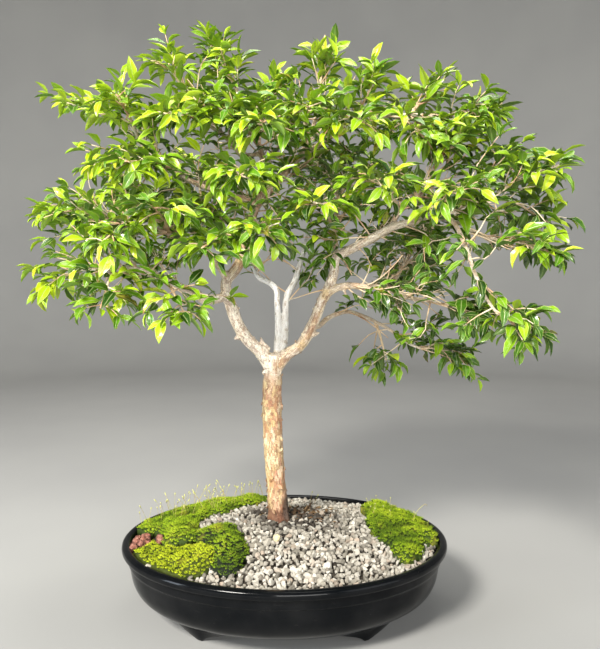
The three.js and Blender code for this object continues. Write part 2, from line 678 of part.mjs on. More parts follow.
// A spray: its stem with a pair of side twigs, and leaves in opposite pairs along it and at every end
function spraySolid(spray, seed, placed) {
  const route = sprayRoute(spray)
  const [, , at, , reach] = spray
  const length = route.getLength()
  const rootRadius = at === 1 ? 1.7 : 2.1
  const root = rootGap(route, rootRadius, placed.slice(0, 1))
  const leafy = Math.max(root + 0.1, 1 - 0.95 * reach / length)
  const fork = mix(leafy, 1, 0.45)
  const stations = [root, mix(root, leafy, 0.5), leafy, leafy + LEAF_NODE / length, fork,
    fork + TWIG_NODE / length, 1 - LEAF_NODE / length, 1]
  const rings = stations.map((station) =>
    ringOf(route.getPointAt(station), route.getTangentAt(station), mix(rootRadius, TWIG_TIP, station)))
  const skin = new Skin(rings[0])
  const { stretches, end } = skin.drawOut(1, rings.slice(1))
  const others = [...placed]
  growTuft(skin, stretches[6], end, route.getTangentAt(1), seed, others)
  const along = route.getTangentAt(fork)
  const { side } = acrossOf(along)
  for (const turn of [1, -1]) {
    const outwards = side.clone().multiplyScalar(turn)
    const face = skin.facetTowards(stretches[4], outwards.clone().addScaledVector(UP, 0.4))
    const heading = along.clone().multiplyScalar(0.45).addScaledVector(outwards, 0.9).normalize()
    const twigLength = reach * (0.5 + 0.15 * draw(seed, 7 + turn))
    growSideTwig(skin, face, heading, twigLength, seed + 30 + turn * 10, others)
    const leafFace = skin.facetTowards(stretches[2], outwards.clone().addScaledVector(UP, 0.4))
    const leafHeading = along.clone().multiplyScalar(0.6).addScaledVector(outwards, 0.8).normalize()
    growLeaf(skin, leafFace, leafHeading, seed + 60 + turn, others)
  }
  return skin.solid()
}

// The nodes

const nodes = []
const add = (name, solid, colour, roughness) => nodes.push({ name, solid, colour, roughness })

const trunkHole = uprightRod(TRUNK_X, TRUNK_Y, TRUNK_CLEAR, TRUNK_FOOT - GAP, 130)
const soilLifted = fillSolid(SOIL_DEPTH - GAP, 1)
const withinWalls = solidOf(ovalLathe([
  [0, 70.6], outside(WALL_INSET, 70.6), outside(10.5, 77), outside(10.5, 140), [0, 140]]))

function soilSolid() {
  let soil = fillSolid(SOIL_DEPTH, 0).subtract(trunkHole)
  for (const side of [-1, 1]) {
    const recess = new THREE.BoxGeometry(SCREEN_SIZE + 1, SCREEN_SIZE + 1, 6)
    recess.translate(side * HOLE_X, 0, FLOOR_TOP + 1 + SCREEN_THICK + 2 * GAP - 3)
    soil = soil.subtract(solidOf(recess))
  }
  return soil
}

// Gravel over the soil everywhere but under the moss
function gravelSolid() {
  const relief = reliefSolid(STONE_PITCH, 1.6, 1.4, 21, ground).intersect(withinWalls)
  const outlines = [BARE_SOIL, ...Object.values(MOSS).map(({ outline }) => outline)]
    .map((outline) => prismSolid(outline, GAP))
  return largestBody([trunkHole, soilLifted, ...outlines].reduce((sum, piece) => sum.subtract(piece), relief))
}

add('pot', potSolid(), 0x14171a, 0.38)
add('drainage_screen_left', screenSolid(-HOLE_X), 0x1d1f1e, 0.6)
add('drainage_screen_right', screenSolid(HOLE_X), 0x1d1f1e, 0.6)
add('soil', soilSolid(), 0x3a2a1e, 0.95)
add('pumice_gravel', gravelSolid(), 0xb3aca0, 0.9)
for (const [name, patch] of Object.entries(MOSS)) add(name, mossSolid(patch), patch.colour, 0.95)
add('lava_pebble_cluster', pebbleSolid(LAVA_CLUSTER, 71), 0x8a4a3c, 0.9)
add('lava_pebble_single', pebbleSolid(LAVA_SINGLE, 75), 0x94523f, 0.9)

const wood = largestBody(limbTubes.reduce((sum, tube) => sum.add(tube)))
add('trunk_and_limbs', wood, 0xb99a74, 0.8)

// Sprays are grown one after another, each clear of the wood and of those before it
const grown = [bodyOf(wood)]
SPRAYS.forEach((spray, index) => {
  const solid = spraySolid(spray, 1000 + index * 100, grown)
  if (touches(solid, grown)) throw new Error('a spray crosses another: ' + spray[0])
  grown.push(bodyOf(solid))
  add('spray_' + spray[0], solid, 0x4f8f1f, 0.45)
})

const group = new THREE.Group()
group.name = 'jaboticaba_bonsai'
for (const { name, solid, colour, roughness } of nodes) {
  const material = new THREE.MeshStandardMaterial({ color: colour, roughness, metalness: 0 })
  const mesh = new THREE.Mesh(geometryOf(solid), material)
  mesh.name = name
  group.add(mesh)
}

export default group
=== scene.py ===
import bpy
import numpy as np
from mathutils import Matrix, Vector


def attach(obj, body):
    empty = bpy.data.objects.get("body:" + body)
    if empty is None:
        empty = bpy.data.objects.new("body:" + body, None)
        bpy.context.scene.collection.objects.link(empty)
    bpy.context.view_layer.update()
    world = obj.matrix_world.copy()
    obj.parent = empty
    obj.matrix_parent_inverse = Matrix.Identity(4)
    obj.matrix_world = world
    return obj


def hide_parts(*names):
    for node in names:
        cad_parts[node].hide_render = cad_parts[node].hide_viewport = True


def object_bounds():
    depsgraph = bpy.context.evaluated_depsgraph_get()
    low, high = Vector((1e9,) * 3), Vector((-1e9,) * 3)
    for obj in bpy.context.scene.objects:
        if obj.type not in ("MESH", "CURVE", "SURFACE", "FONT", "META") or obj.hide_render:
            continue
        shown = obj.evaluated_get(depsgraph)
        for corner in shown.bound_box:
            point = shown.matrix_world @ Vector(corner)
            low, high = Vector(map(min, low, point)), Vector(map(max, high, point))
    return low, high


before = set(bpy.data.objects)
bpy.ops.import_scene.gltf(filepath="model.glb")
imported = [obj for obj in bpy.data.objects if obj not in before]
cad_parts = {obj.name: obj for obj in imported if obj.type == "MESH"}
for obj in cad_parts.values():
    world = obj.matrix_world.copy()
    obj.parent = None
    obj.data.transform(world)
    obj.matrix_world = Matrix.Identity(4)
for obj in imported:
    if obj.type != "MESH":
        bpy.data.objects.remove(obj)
cad_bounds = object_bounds()
CAD_LOW, CAD_HIGH = np.array(cad_bounds[0]), np.array(cad_bounds[1])

MM = 0.001
UP = np.array([0.0, 0.0, 1.0])

# Sizes shared with the CAD source, in millimetres. The waist is what the pot's half length has over its half
# width, and inside the core its rings shrink to the middle.
POT_LENGTH = 355
POT_WIDTH = 270
HALF_LENGTH = POT_LENGTH / 2
WAIST = (POT_LENGTH - POT_WIDTH) / 2
CORE = 118
FLOOR_UNDER = 9
FLOOR_TOP = 14
HOLE_X = 62
HOLE_RADIUS = 11
SCREEN_SIZE = 36
FOOT_X = 83
GROUND_EDGE = 75.5
GROUND_RISE = 20.5
GROUND_LONG = 166.5
GROUND_WIDE = 124
WALL_INSET = 11.2
SOIL_DEPTH = 4.5
MOSS_SHOULDER = 14
TRUNK_X = -7
TRUNK_Y = 6
TRUNK_FOOT = 58

# Half the length and half the width of the grid that slabs and scattered places are taken from
SLAB_LONG = 176
SLAB_WIDE = 136


# The camera, at the photograph's angle: a pinhole of 640 pixels on a frame 649 pixels high

CAMERA_PLACE = np.array([16.7, -692.7, 359.8])
CAMERA_TILT = np.radians(3.87)
FOCAL_PIXELS = 640
FRAME_WIDTH, FRAME_HEIGHT = 600, 649
SENSOR_SIZE = 36


def place_camera():
    camera = bpy.data.objects.new("camera", bpy.data.cameras.new("camera"))
    camera.data.sensor_width = SENSOR_SIZE
    camera.data.lens = FOCAL_PIXELS / FRAME_HEIGHT * SENSOR_SIZE
    camera.location = CAMERA_PLACE * MM
    camera.rotation_euler = (np.pi / 2 - CAMERA_TILT, 0, 0)
    bpy.context.scene.collection.objects.link(camera)
    bpy.context.scene.camera = camera


def in_picture(points):
    """Where the camera sees places in millimetres, in pixels from the frame's top left corner."""
    forward = np.array([0, np.cos(CAMERA_TILT), -np.sin(CAMERA_TILT)])
    upward = np.array([0, np.sin(CAMERA_TILT), np.cos(CAMERA_TILT)])
    away = points - CAMERA_PLACE
    depth = away @ forward
    return np.stack([FRAME_WIDTH / 2 + FOCAL_PIXELS * away[:, 0] / depth,
                     FRAME_HEIGHT / 2 - FOCAL_PIXELS * (away @ upward) / depth], -1)


def add_softbox(name, place, aim, width, height, watts, colour):
    light = bpy.data.lights.new(name, "AREA")
    light.shape = "RECTANGLE"
    light.size = width
    light.size_y = height
    light.energy = watts
    light.color = colour
    box = bpy.data.objects.new(name, light)
    box.location = place
    box.rotation_euler = (Vector(aim) - Vector(place)).to_track_quat("-Z", "Y").to_euler()
    bpy.context.scene.collection.objects.link(box)


def light_studio():
    add_softbox("key_softbox", (-0.85, -1.35, 1.45), (0, 0, 0.33), 0.45, 0.4, 75, (1, 0.965, 0.89))
    add_softbox("front_softbox", (0.3, -1.9, 0.6), (0, 0, 0.34), 0.9, 0.7, 24, (1, 0.985, 0.95))
    add_softbox("side_softbox", (-1.5, -0.75, 0.45), (0, 0, 0.2), 0.35, 0.8, 12, (0.80, 0.90, 1))
    add_softbox("fill_softbox", (1.4, -1.2, 0.8), (0, 0, 0.3), 1.2, 1.2, 8, (0.92, 0.96, 1))
    add_softbox("top_softbox", (0.1, 0.25, 1.9), (0, 0, 0.3), 1.0, 0.9, 20, (1, 0.98, 0.94))
    world = bpy.data.worlds.new("studio_air")
    world.use_nodes = True
    air = world.node_tree.nodes["Background"]
    air.inputs["Color"].default_value = (0.86, 0.88, 0.9, 1)
    air.inputs["Strength"].default_value = 0.17
    bpy.context.scene.world = world
    bpy.context.scene.view_settings.view_transform = "Standard"


# Draws, noise and curves

def unit(vectors):
    """Each vector over its own length."""
    return vectors / np.linalg.norm(vectors, axis=-1, keepdims=True)


def mix(a, b, t):
    return a + (b - a) * t


# Large odd numbers that scramble a lattice cell's place and a seed
CELL_SCRAMBLERS = np.array([374761393, 668265263, 2246822519], np.uint32)
SEED_SCRAMBLER = 3266489917
LAST_SCRAMBLER = np.uint32(1274126177)


def lattice_draw(cell, seed):
    """A draw between -1 and 1 for each lattice cell: its three whole numbers hashed by multiply and shift."""
    h = cell.astype(np.int64).astype(np.uint32) * CELL_SCRAMBLERS
    h = h[..., 0] + h[..., 1] + h[..., 2] + np.uint32(seed * SEED_SCRAMBLER % 2**32)
    h = (h ^ (h >> np.uint32(13))) * LAST_SCRAMBLER
    h = h ^ (h >> np.uint32(16))
    return h.astype(np.float64) / 2**31 - 1


def full_turn(count):
    """Angles spread evenly once round."""
    return np.arange(count) / count * 2 * np.pi


def smooth_noise(points, size, seed):
    """Noise between -1 and 1 whose lumps are about size across: the draws of the eight lattice corners
    round a point, blended by 3 t^2 - 2 t^3 along each axis."""
    at = np.asarray(points) / size
    low = np.floor(at)
    t = at - low
    t = t * t * (3 - 2 * t)
    total = 0
    for corner in np.ndindex(2, 2, 2):
        step = np.array(corner)
        weight = np.prod(np.where(step == 1, t, 1 - t), axis=-1)
        total = total + weight * lattice_draw(low + step, seed)
    return total


class Route:
    """A centripetal Catmull-Rom curve through points, read by share of its length: between points p1 and
    p2 a Hermite cubic whose tangents weigh each chord by one over the square root of its length."""

    def __init__(self, points, samples=24):
        points = np.array(points, float)
        before, after = 2 * points[0] - points[1], 2 * points[-1] - points[-2]
        p = np.concatenate([[before], points, [after]])
        p0, p1, p2, p3 = p[:-3, None], p[1:-2, None], p[2:-1, None], p[3:, None]
        d0, d1, d2 = [np.sqrt(np.linalg.norm(b - a, axis=-1, keepdims=True))
                      for a, b in ((p0, p1), (p1, p2), (p2, p3))]
        m1 = d1 * ((p1 - p0) / d0 - (p2 - p0) / (d0 + d1) + (p2 - p1) / d1)
        m2 = d1 * ((p2 - p1) / d1 - (p3 - p1) / (d1 + d2) + (p3 - p2) / d2)
        t = (np.arange(samples) / samples)[None, :, None]
        cubic = (p1 + m1 * t + (3 * (p2 - p1) - 2 * m1 - m2) * t**2 + (2 * (p1 - p2) + m1 + m2) * t**3)
        self.places = np.concatenate([cubic.reshape(-1, points.shape[1]), points[-1:]])
        self.marks = np.concatenate([[0], np.cumsum(np.linalg.norm(np.diff(self.places, axis=0), axis=1))])
        self.length = self.marks[-1]

    def at(self, share):
        mark = np.asarray(share, float) * self.length
        return np.stack([np.interp(mark, self.marks, axis) for axis in self.places.T], axis=-1)

    def heading(self, share):
        share = np.asarray(share, float)
        return unit(self.at(np.minimum(share + 0.01, 1)) - self.at(np.maximum(share - 0.01, 0)))


# Shader maths

class Value:
    """A shader socket that can stand in an expression: each operator adds a Math node."""

    def __init__(self, finish, socket):
        self.finish = finish
        self.socket = socket
        self.math = finish.math

    def __add__(self, other):
        return self.math("ADD", self, other)

    def __sub__(self, other):
        return self.math("SUBTRACT", self, other)

    def __rsub__(self, other):
        return self.math("SUBTRACT", other, self)

    def __mul__(self, other):
        return self.math("MULTIPLY", self, other)

    def __abs__(self):
        return self.math("ABSOLUTE", self)

    __radd__ = __add__
    __rmul__ = __mul__

    def between(self, low, high):
        """0 below low, 1 above high and even in between."""
        settings = {"interpolation_type": "SMOOTHSTEP"}
        inputs = {"Value": self, "From Min": low, "From Max": high}
        return self.finish.node("ShaderNodeMapRange", settings, inputs)


class Finish:
    """A material whose nodes are made by one method, node."""

    def __init__(self, name):
        self.material = bpy.data.materials.new(name)
        self.material.use_nodes = True
        self.tree = self.material.node_tree
        self.tree.nodes.clear()

    def node(self, kind, settings=None, inputs=None, output=0):
        """Adds a node: its settings first, then its sockets' values or links. Gives back one output."""
        node = self.tree.nodes.new(kind)
        for key, value in (settings or {}).items():
            if key == "stops":
                self.set_stops(node.color_ramp, value)
            else:
                setattr(node, key, value)
        for key, value in (inputs or {}).items():
            named = [socket for socket in node.inputs if socket.name == key and socket.enabled]
            socket = node.inputs[key] if isinstance(key, int) else named[0]
            if isinstance(value, Value):
                self.tree.links.new(value.socket, socket)
            else:
                socket.default_value = value
        if not node.outputs:
            return None
        shown = [socket for socket in node.outputs if socket.enabled]
        return Value(self, node.outputs[output] if isinstance(output, str) else shown[output])

    def math(self, operation, *values):
        return self.node("ShaderNodeMath", {"operation": operation}, dict(enumerate(values)))

    @staticmethod
    def set_stops(ramp, stops):
        while len(ramp.elements) < len(stops):
            ramp.elements.new(1)
        for element, (position, colour) in zip(ramp.elements, stops):
            element.position = position
            element.color = (*colour, 1)

    def place(self):
        return self.node("ShaderNodeTexCoord", output="Object")

    def attributes(self, *names):
        """The numbers that a piece's corners hold under these names."""
        return [self.node("ShaderNodeAttribute", {"attribute_name": name}, output="Fac") for name in names]

    def across_uv(self):
        """The two numbers of a piece's own UV map: along it and across it."""
        uv = self.node("ShaderNodeUVMap", {"uv_map": "UVMap"})
        split = self.node("ShaderNodeSeparateXYZ", inputs={0: uv}, output="X")
        return split, Value(self, split.socket.node.outputs["Y"])

    def stretched(self, vector, scale):
        return self.node("ShaderNodeMapping", inputs={"Vector": vector, "Scale": scale})

    def noise(self, vector, scale, detail=3, roughness=0.55):
        inputs = {"Vector": vector, "Scale": scale, "Detail": detail, "Roughness": roughness}
        return self.node("ShaderNodeTexNoise", inputs=inputs, output="Fac")

    def cells(self, vector, scale, feature="F1", output="Distance"):
        inputs = {"Vector": vector, "Scale": scale}
        return self.node("ShaderNodeTexVoronoi", {"feature": feature}, inputs, output=output)

    def ramp(self, value, stops):
        return self.node("ShaderNodeValToRGB", {"stops": stops}, {"Fac": value})

    def blend(self, factor, first, second, how="MIX"):
        settings = {"data_type": "RGBA", "blend_type": how}
        first, second = [(*c, 1) if isinstance(c, tuple) else c for c in (first, second)]
        return self.node("ShaderNodeMix", settings, {0: factor, "A": first, "B": second})

    def bump(self, height, strength, distance):
        inputs = {"Height": height, "Strength": strength, "Distance": distance}
        return self.node("ShaderNodeBump", inputs=inputs)

    def surface(self, **sockets):
        """A Principled shader: a socket's name has underscores for its spaces."""
        inputs = {key.replace("_", " "): value for key, value in sockets.items()}
        return self.node("ShaderNodeBsdfPrincipled", inputs=inputs)

    def shown(self, shader):
        """The material, with a shader set on its output."""
        self.node("ShaderNodeOutputMaterial", inputs={"Surface": shader})
        return self.material

    def finished(self, **sockets):
        """The material, with one Principled shader."""
        return self.shown(self.surface(**sockets))


# Mesh making

def part(corners, faces, finish=0, smooth=True, uv=None, rim=None, drawn=None, **numbers):
    """Some corners in millimetres, the faces over them, and numbers for each corner by name."""
    return {"corners": np.asarray(corners, float).reshape(-1, 3), "faces": faces, "finish": finish,
            "smooth": smooth, "uv": uv, "rim": rim, "drawn": drawn, "numbers": numbers}


def set_numbers(mesh, key, values):
    """Gives each corner of a mesh a number, or three, under a name that a finish reads."""
    kind, field = ("FLOAT", "value") if values.ndim == 1 else ("FLOAT_VECTOR", "vector")
    mesh.attributes.new(key, kind, "POINT").data.foreach_set(field, values.astype(np.float32).ravel())


def gathered(parts, key, *width):
    """What all the parts hold under a key, one row a corner, with zeros for a part that has none."""
    zeros = [np.zeros((len(p["corners"]), *width)) for p in parts]
    return np.concatenate([none if p[key] is None else p[key] for p, none in zip(parts, zeros)])


def make_piece(name, parts, finishes, nodes=()):
    """One object of all the parts, riding on the root body, in place of the CAD nodes that it names."""
    starts = np.cumsum([0] + [len(p["corners"]) for p in parts])
    faces = [face + start for p, start in zip(parts, starts) for face in p["faces"]]
    sizes = np.concatenate([np.full(len(face), face.shape[1]) for face in faces])
    loops = np.concatenate([face.ravel() for face in faces])
    mesh = bpy.data.meshes.new(name)
    mesh.vertices.add(starts[-1])
    corners = np.concatenate([p["corners"] for p in parts]) * MM
    mesh.vertices.foreach_set("co", corners.astype(np.float32).ravel())
    mesh.loops.add(len(loops))
    mesh.loops.foreach_set("vertex_index", loops.astype(np.int32))
    mesh.polygons.add(len(sizes))
    mesh.polygons.foreach_set("loop_start", (np.cumsum(sizes) - sizes).astype(np.int32))
    for finish in finishes:
        mesh.materials.append(finish)
    for key, per_part in (("material_index", "finish"), ("use_smooth", "smooth")):
        values = [np.full(len(face), p[per_part]) for p in parts for face in p["faces"]]
        mesh.polygons.foreach_set(key, np.concatenate(values))
    mesh.update(calc_edges=True)
    for key in sorted({key for p in parts for key in p["numbers"]}):
        values = [np.broadcast_to(p["numbers"].get(key, 0.0), len(p["corners"])) for p in parts]
        set_numbers(mesh, key, np.concatenate(values))
    if any(p["drawn"] is not None for p in parts):
        set_numbers(mesh, "drawn", gathered(parts, "drawn", 3) * MM)
    if any(p["uv"] is not None for p in parts):
        uv = gathered(parts, "uv", 2)
        mesh.uv_layers.new(name="UVMap").data.foreach_set("uv", uv[loops].astype(np.float32).ravel())
    if any(p["rim"] is not None for p in parts):
        rim = gathered(parts, "rim")
        ends = np.empty(len(mesh.edges) * 2, np.int32)
        mesh.edges.foreach_get("vertices", ends)
        sharp = rim[ends.reshape(-1, 2)].all(axis=1)
        mesh.attributes.new("sharp_edge", "BOOLEAN", "EDGE").data.foreach_set("value", sharp)
    return settle(bpy.data.objects.new(name, mesh), nodes)


def settle(piece, nodes):
    """Puts a finished piece into the scene with its body and the CAD nodes it stands for."""
    bpy.context.scene.collection.objects.link(piece)
    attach(piece, "root")
    if nodes:
        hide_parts(*nodes)
    return piece


def ring_quads(rings, sides):
    """The quads between rings of corners, each ring closed on itself."""
    ring, side = np.meshgrid(np.arange(rings - 1), np.arange(sides), indexing="ij")
    after = (side + 1) % sides
    return np.stack([ring * sides + side, ring * sides + after,
                     (ring + 1) * sides + after, (ring + 1) * sides + side], axis=-1).reshape(-1, 4)


def repeated(faces, count, size):
    """The faces of `count` equal shapes of `size` corners each, one shape after another."""
    return (faces[None] + np.arange(count)[:, None, None] * size).reshape(-1, faces.shape[1])


def ringed_faces(count, rings, sides):
    """Faces of `count` closed shapes that each have rings of corners and then a first and a last pole."""
    side = np.arange(sides)
    after = (side + 1) % sides
    first, last = np.full(sides, rings * sides), np.full(sides, rings * sides + 1)
    top = (rings - 1) * sides
    caps = np.concatenate([np.stack([first, after, side], -1), np.stack([last, top + side, top + after], -1)])
    return [repeated(faces, count, rings * sides + 2) for faces in (ring_quads(rings, sides), caps)]


def circle(across, over, sides):
    """Directions round each place: cos a of its across axis plus sin a of its over axis."""
    turn = full_turn(sides)[:, None]
    return np.cos(turn) * across[..., None, :] + np.sin(turn) * over[..., None, :]


def tubes(routes, radii, sides):
    """Closed tapered tubes along N routes of P points: round each point the corners stand at the radius
    along cos a of an across axis plus sin a of an over axis, both square to the route."""
    routes = np.asarray(routes, float)
    radii = np.broadcast_to(radii, routes.shape[:2])
    heading = unit(np.gradient(routes, axis=1))
    weakest = np.argmin(np.abs(heading.mean(axis=1)), axis=1)
    across = unit(np.cross(heading, np.eye(3)[weakest][:, None]))
    ring = circle(across, np.cross(heading, across), sides)
    corners = routes[:, :, None] + ring * radii[:, :, None, None]
    poles = np.stack([routes[:, 0] - heading[:, 0] * radii[:, :1] * 0.3,
                      routes[:, -1] + heading[:, -1] * radii[:, -1:] * 0.3], axis=1)
    corners = np.concatenate([corners.reshape(len(routes), -1, 3), poles], axis=1)
    return part(corners, ringed_faces(len(routes), routes.shape[1], sides))


def only(blades, kept):
    """The part with only the kept ones of its equal shapes, whose corners stand one shape after another."""
    size = len(blades["corners"]) // len(kept)
    take = np.repeat(kept, size)
    faces = [face.reshape(len(kept), -1, face.shape[1])[:kept.sum()].reshape(-1, face.shape[1])
             for face in blades["faces"]]
    numbers = {key: np.broadcast_to(value, len(take))[take] for key, value in blades["numbers"].items()}
    return blades | {"corners": blades["corners"][take], "faces": faces, "uv": blades["uv"][take],
                     "rim": blades["rim"][take], "numbers": numbers}


def slab(keep, top, bottom, pitch):
    """A closed slab over the cells of a square grid whose middles `keep` takes, between two heights:
    the cells above, the same cells turned over below, and a wall along each edge used once."""
    x, y = np.meshgrid(np.arange(-SLAB_LONG, SLAB_LONG + pitch, pitch),
                       np.arange(-SLAB_WIDE, SLAB_WIDE + pitch, pitch))
    columns = x.shape[1]
    row, column = np.meshgrid(np.arange(x.shape[0] - 1), np.arange(columns - 1), indexing="ij")
    low = row * columns + column
    cells = np.stack([low, low + 1, low + columns + 1, low + columns], -1).reshape(-1, 4)
    middle = x.ravel()[cells].mean(1), y.ravel()[cells].mean(1)
    cells = cells[keep(*middle)]
    used, cells = np.unique(cells, return_inverse=True)
    cells = cells.reshape(-1, 4)
    x, y = x.ravel()[used], y.ravel()[used]
    corners = np.concatenate([np.stack([x, y, top(x, y)], -1), np.stack([x, y, bottom(x, y)], -1)])
    edges = np.concatenate([cells[:, [k, (k + 1) % 4]] for k in range(4)])
    alone = ~np.isin(edges[:, 0] * len(x) + edges[:, 1], edges[:, 1] * len(x) + edges[:, 0])
    a, b = edges[alone].T
    walls = np.stack([a, a + len(x), b + len(x), b], -1)
    return part(corners, [np.concatenate([cells, cells[:, ::-1] + len(x), walls])])


def spots(pitch, keep, seed):
    """Places on the ground: a lattice of equilateral triangles shaken by a third of its pitch, where kept."""
    rng = np.random.default_rng(seed)
    row_height = 0.866
    shake = 0.36
    lines = np.arange(-170, 170)
    row, column = np.meshgrid(lines, lines, indexing="ij")
    x = ((column + row % 2 / 2) * pitch).ravel()
    y = (row * pitch * row_height).ravel()
    near = (np.abs(x) < SLAB_LONG + 4) & (np.abs(y) < SLAB_WIDE + 4)
    x, y = [axis[near] + rng.uniform(-shake, shake, near.sum()) * pitch for axis in (x, y)]
    kept = keep(x, y)
    return np.stack([x[kept], y[kept]], -1)


# The pot

def oval(radius, turn, height):
    """A point on a ring of the pot: x is the radius times cos, y is what is left of the radius less the
    waist, times sin; inside the core both shrink together to the middle."""
    depth = np.where(radius > CORE, radius - WAIST, radius * (CORE - WAIST) / CORE)
    return np.stack(np.broadcast_arrays(radius * np.cos(turn), depth * np.sin(turn), height), axis=-1)


def pot_profile():
    """The pot's section as insets from its outer edge and heights: smooth runs through a few points,
    which meet in the crisp lines of the base ring, the step, the groove under the lip and the lip."""
    runs = [
        [(59, 10.5), (56.5, 9), (53, 9), (47, 11.2), (42, 13.5), (34, 16.8), (28, 20), (17, 29), (11.6, 39),
         (9.2, 50), (8.3, 58.4)],
        [(7.9, 59.2), (6.9, 59.9), (6.5, 60.8), (6.2, 65), (6.1, 68.5), (5.6, 70)],
        [(4.4, 70.6), (2.2, 70.9), (0.6, 72.2), (0, 75), (0.7, 77.8), (2.6, 79.5), (5.2, 80), (7.6, 79.5),
         (9.4, 78), (10.1, 75.5)],
        [(10.5, 72), (11.6, 60), (13, 50), (17, 37), (24, 27), (34, 19.4), (46, 15)],
    ]
    stations_a_point = 3.5
    shares = [np.linspace(0, 1, int(stations_a_point * len(run))) for run in runs]
    points = np.concatenate([Route(run).at(share) for run, share in zip(runs, shares)])
    return HALF_LENGTH - points[:, 0], points[:, 1]


def pot_shell():
    """The section carried round the oval, closed by a pole under the floor and one on it."""
    sides = 176
    radius, height = pot_profile()
    corners = oval(radius[:, None], full_turn(sides)[None], height[:, None])
    corners = np.concatenate([corners.reshape(-1, 3), [[0, 0, FLOOR_UNDER + 1.5], [0, 0, FLOOR_TOP]]])
    return part(corners, ringed_faces(1, len(radius), sides))


def pot_foot(side_x, side_y):
    """A bracket foot: a section carried along the oval base, whose sole rises from a short level tip to meet
    the body at the end of each wing: by the share of the way there to 0.95 outwards and to 0.6 inwards."""
    stations = 41
    share = np.linspace(-1, 1, stations)
    wing = (np.maximum(0, np.abs(share) - 0.06) / 0.94) ** np.where(share < 0, 0.95, 0.6)
    turn = np.arccos(FOOT_X / (HALF_LENGTH - 42)) + np.where(share < 0, 0.42, 0.34) * share
    section = [(51, 12.5, 1), (50, 0.5, 0), (48.6, 0.05, 0), (42.4, 0.0, 0), (41.2, 0.4, 0), (40.4, 1.5, 0),
               (38.2, 7, 0), (36.2, 12.2, 0), (35.2, 15.4, 0.6), (35, 18, 1)]
    rings = []
    for inset, height, fixed in section:
        body = np.interp(inset, [34, 42, 53], [17.6, 14.4, 10.4])
        rise = np.maximum(0, body - height) * wing * (1 - fixed)
        rings.append(oval(HALF_LENGTH - inset, turn, height + rise))
    rings = np.stack(rings, axis=1)
    poles = np.stack([rings[0].mean(0), rings[-1].mean(0)])
    corners = np.concatenate([rings.reshape(-1, 3), poles]) * [side_x, side_y, 1]
    faces = ringed_faces(1, stations, len(section))
    if side_x * side_y > 0:
        faces = [face[:, ::-1] for face in faces]
    return part(corners, faces)


def make_pot(finish):
    """The shell is one closed lathe; its two drain holes are cut, and the four feet are a piece of their own.
    """
    shell = make_piece("oval_pot", [pot_shell()], [finish])
    cutters = [tubes([[(side * HOLE_X, 0, z) for z in (2, 12, 24)]], HOLE_RADIUS, 40) for side in (-1, 1)]
    cutter = make_piece("drain_cutter", cutters, [finish])
    holes = shell.modifiers.new("drain_holes", "BOOLEAN")
    holes.operation = "DIFFERENCE"
    holes.solver = "EXACT"
    holes.object = cutter
    bake_modifiers(shell)
    bpy.data.objects.remove(cutter)
    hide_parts("pot")
    make_piece("pot_feet", [pot_foot(x, y) for x in (-1, 1) for y in (-1, 1)], [finish])


def bake_modifiers(piece):
    """Swaps the piece's mesh for what its modifiers make of it."""
    bpy.context.view_layer.update()
    seen = piece.evaluated_get(bpy.context.evaluated_depsgraph_get())
    mesh = bpy.data.meshes.new_from_object(seen)
    piece.modifiers.clear()
    piece.data = mesh


def make_screens(finish):
    """Two plastic drain screens: round strands laid both ways inside a frame of the same strand."""
    half = SCREEN_SIZE / 2
    height = FLOOR_TOP + 1.9
    ends = (-half, 0, half)
    offsets = np.linspace(-half + 0.6, half - 0.6, 13)
    for name, middle in (("left", -HOLE_X), ("right", HOLE_X)):
        along_x = [[(middle + x, y, height) for x in ends] for y in offsets]
        along_y = [[(middle + x, y, height) for y in ends] for x in offsets]
        strands = tubes(np.concatenate([along_x, along_y]), 0.5, 6)
        make_piece("drain_screen_" + name, [strands], [finish], ["drainage_screen_" + name])


# The ground

def ground(x, y):
    """A low mound: the edge's height and a rise times one less the squared oval distance, to 1.3."""
    reach = (x / GROUND_LONG) ** 2 + (y / GROUND_WIDE) ** 2
    return GROUND_EDGE + GROUND_RISE * np.maximum(0, 1 - reach) ** 1.3


def within_wall(x, y, inset=WALL_INSET):
    """Whether a place is inside the oval that lies an inset from the pot's outer edge."""
    return np.hypot(x / (HALF_LENGTH - inset), y / (HALF_LENGTH - WAIST - inset)) < 1


class Patch:
    """A closed outline on the ground, smoothed through its points."""

    def __init__(self, points):
        overlap, samples = 2, 6
        loop = points[-overlap:] + points + points[:overlap]
        extra = overlap * samples
        self.edge = Route(loop, samples).places[extra:-extra - 1]

    def holds(self, x, y):
        """Whether a ray from each place crosses the outline an odd number of times."""
        a, b = self.edge, np.roll(self.edge, -1, axis=0)
        x, y = np.asarray(x, float)[..., None], np.asarray(y, float)[..., None]
        spans = (a[:, 1] > y) != (b[:, 1] > y)
        slope = (b[:, 0] - a[:, 0]) / np.where(b[:, 1] == a[:, 1], 1e-9, b[:, 1] - a[:, 1])
        return (spans & (x < a[:, 0] + (y - a[:, 1]) * slope)).sum(-1) % 2 == 1

    def distance(self, x, y):
        x, y = np.asarray(x)[..., None], np.asarray(y)[..., None]
        return np.hypot(self.edge[:, 0] - x, self.edge[:, 1] - y).min(-1)


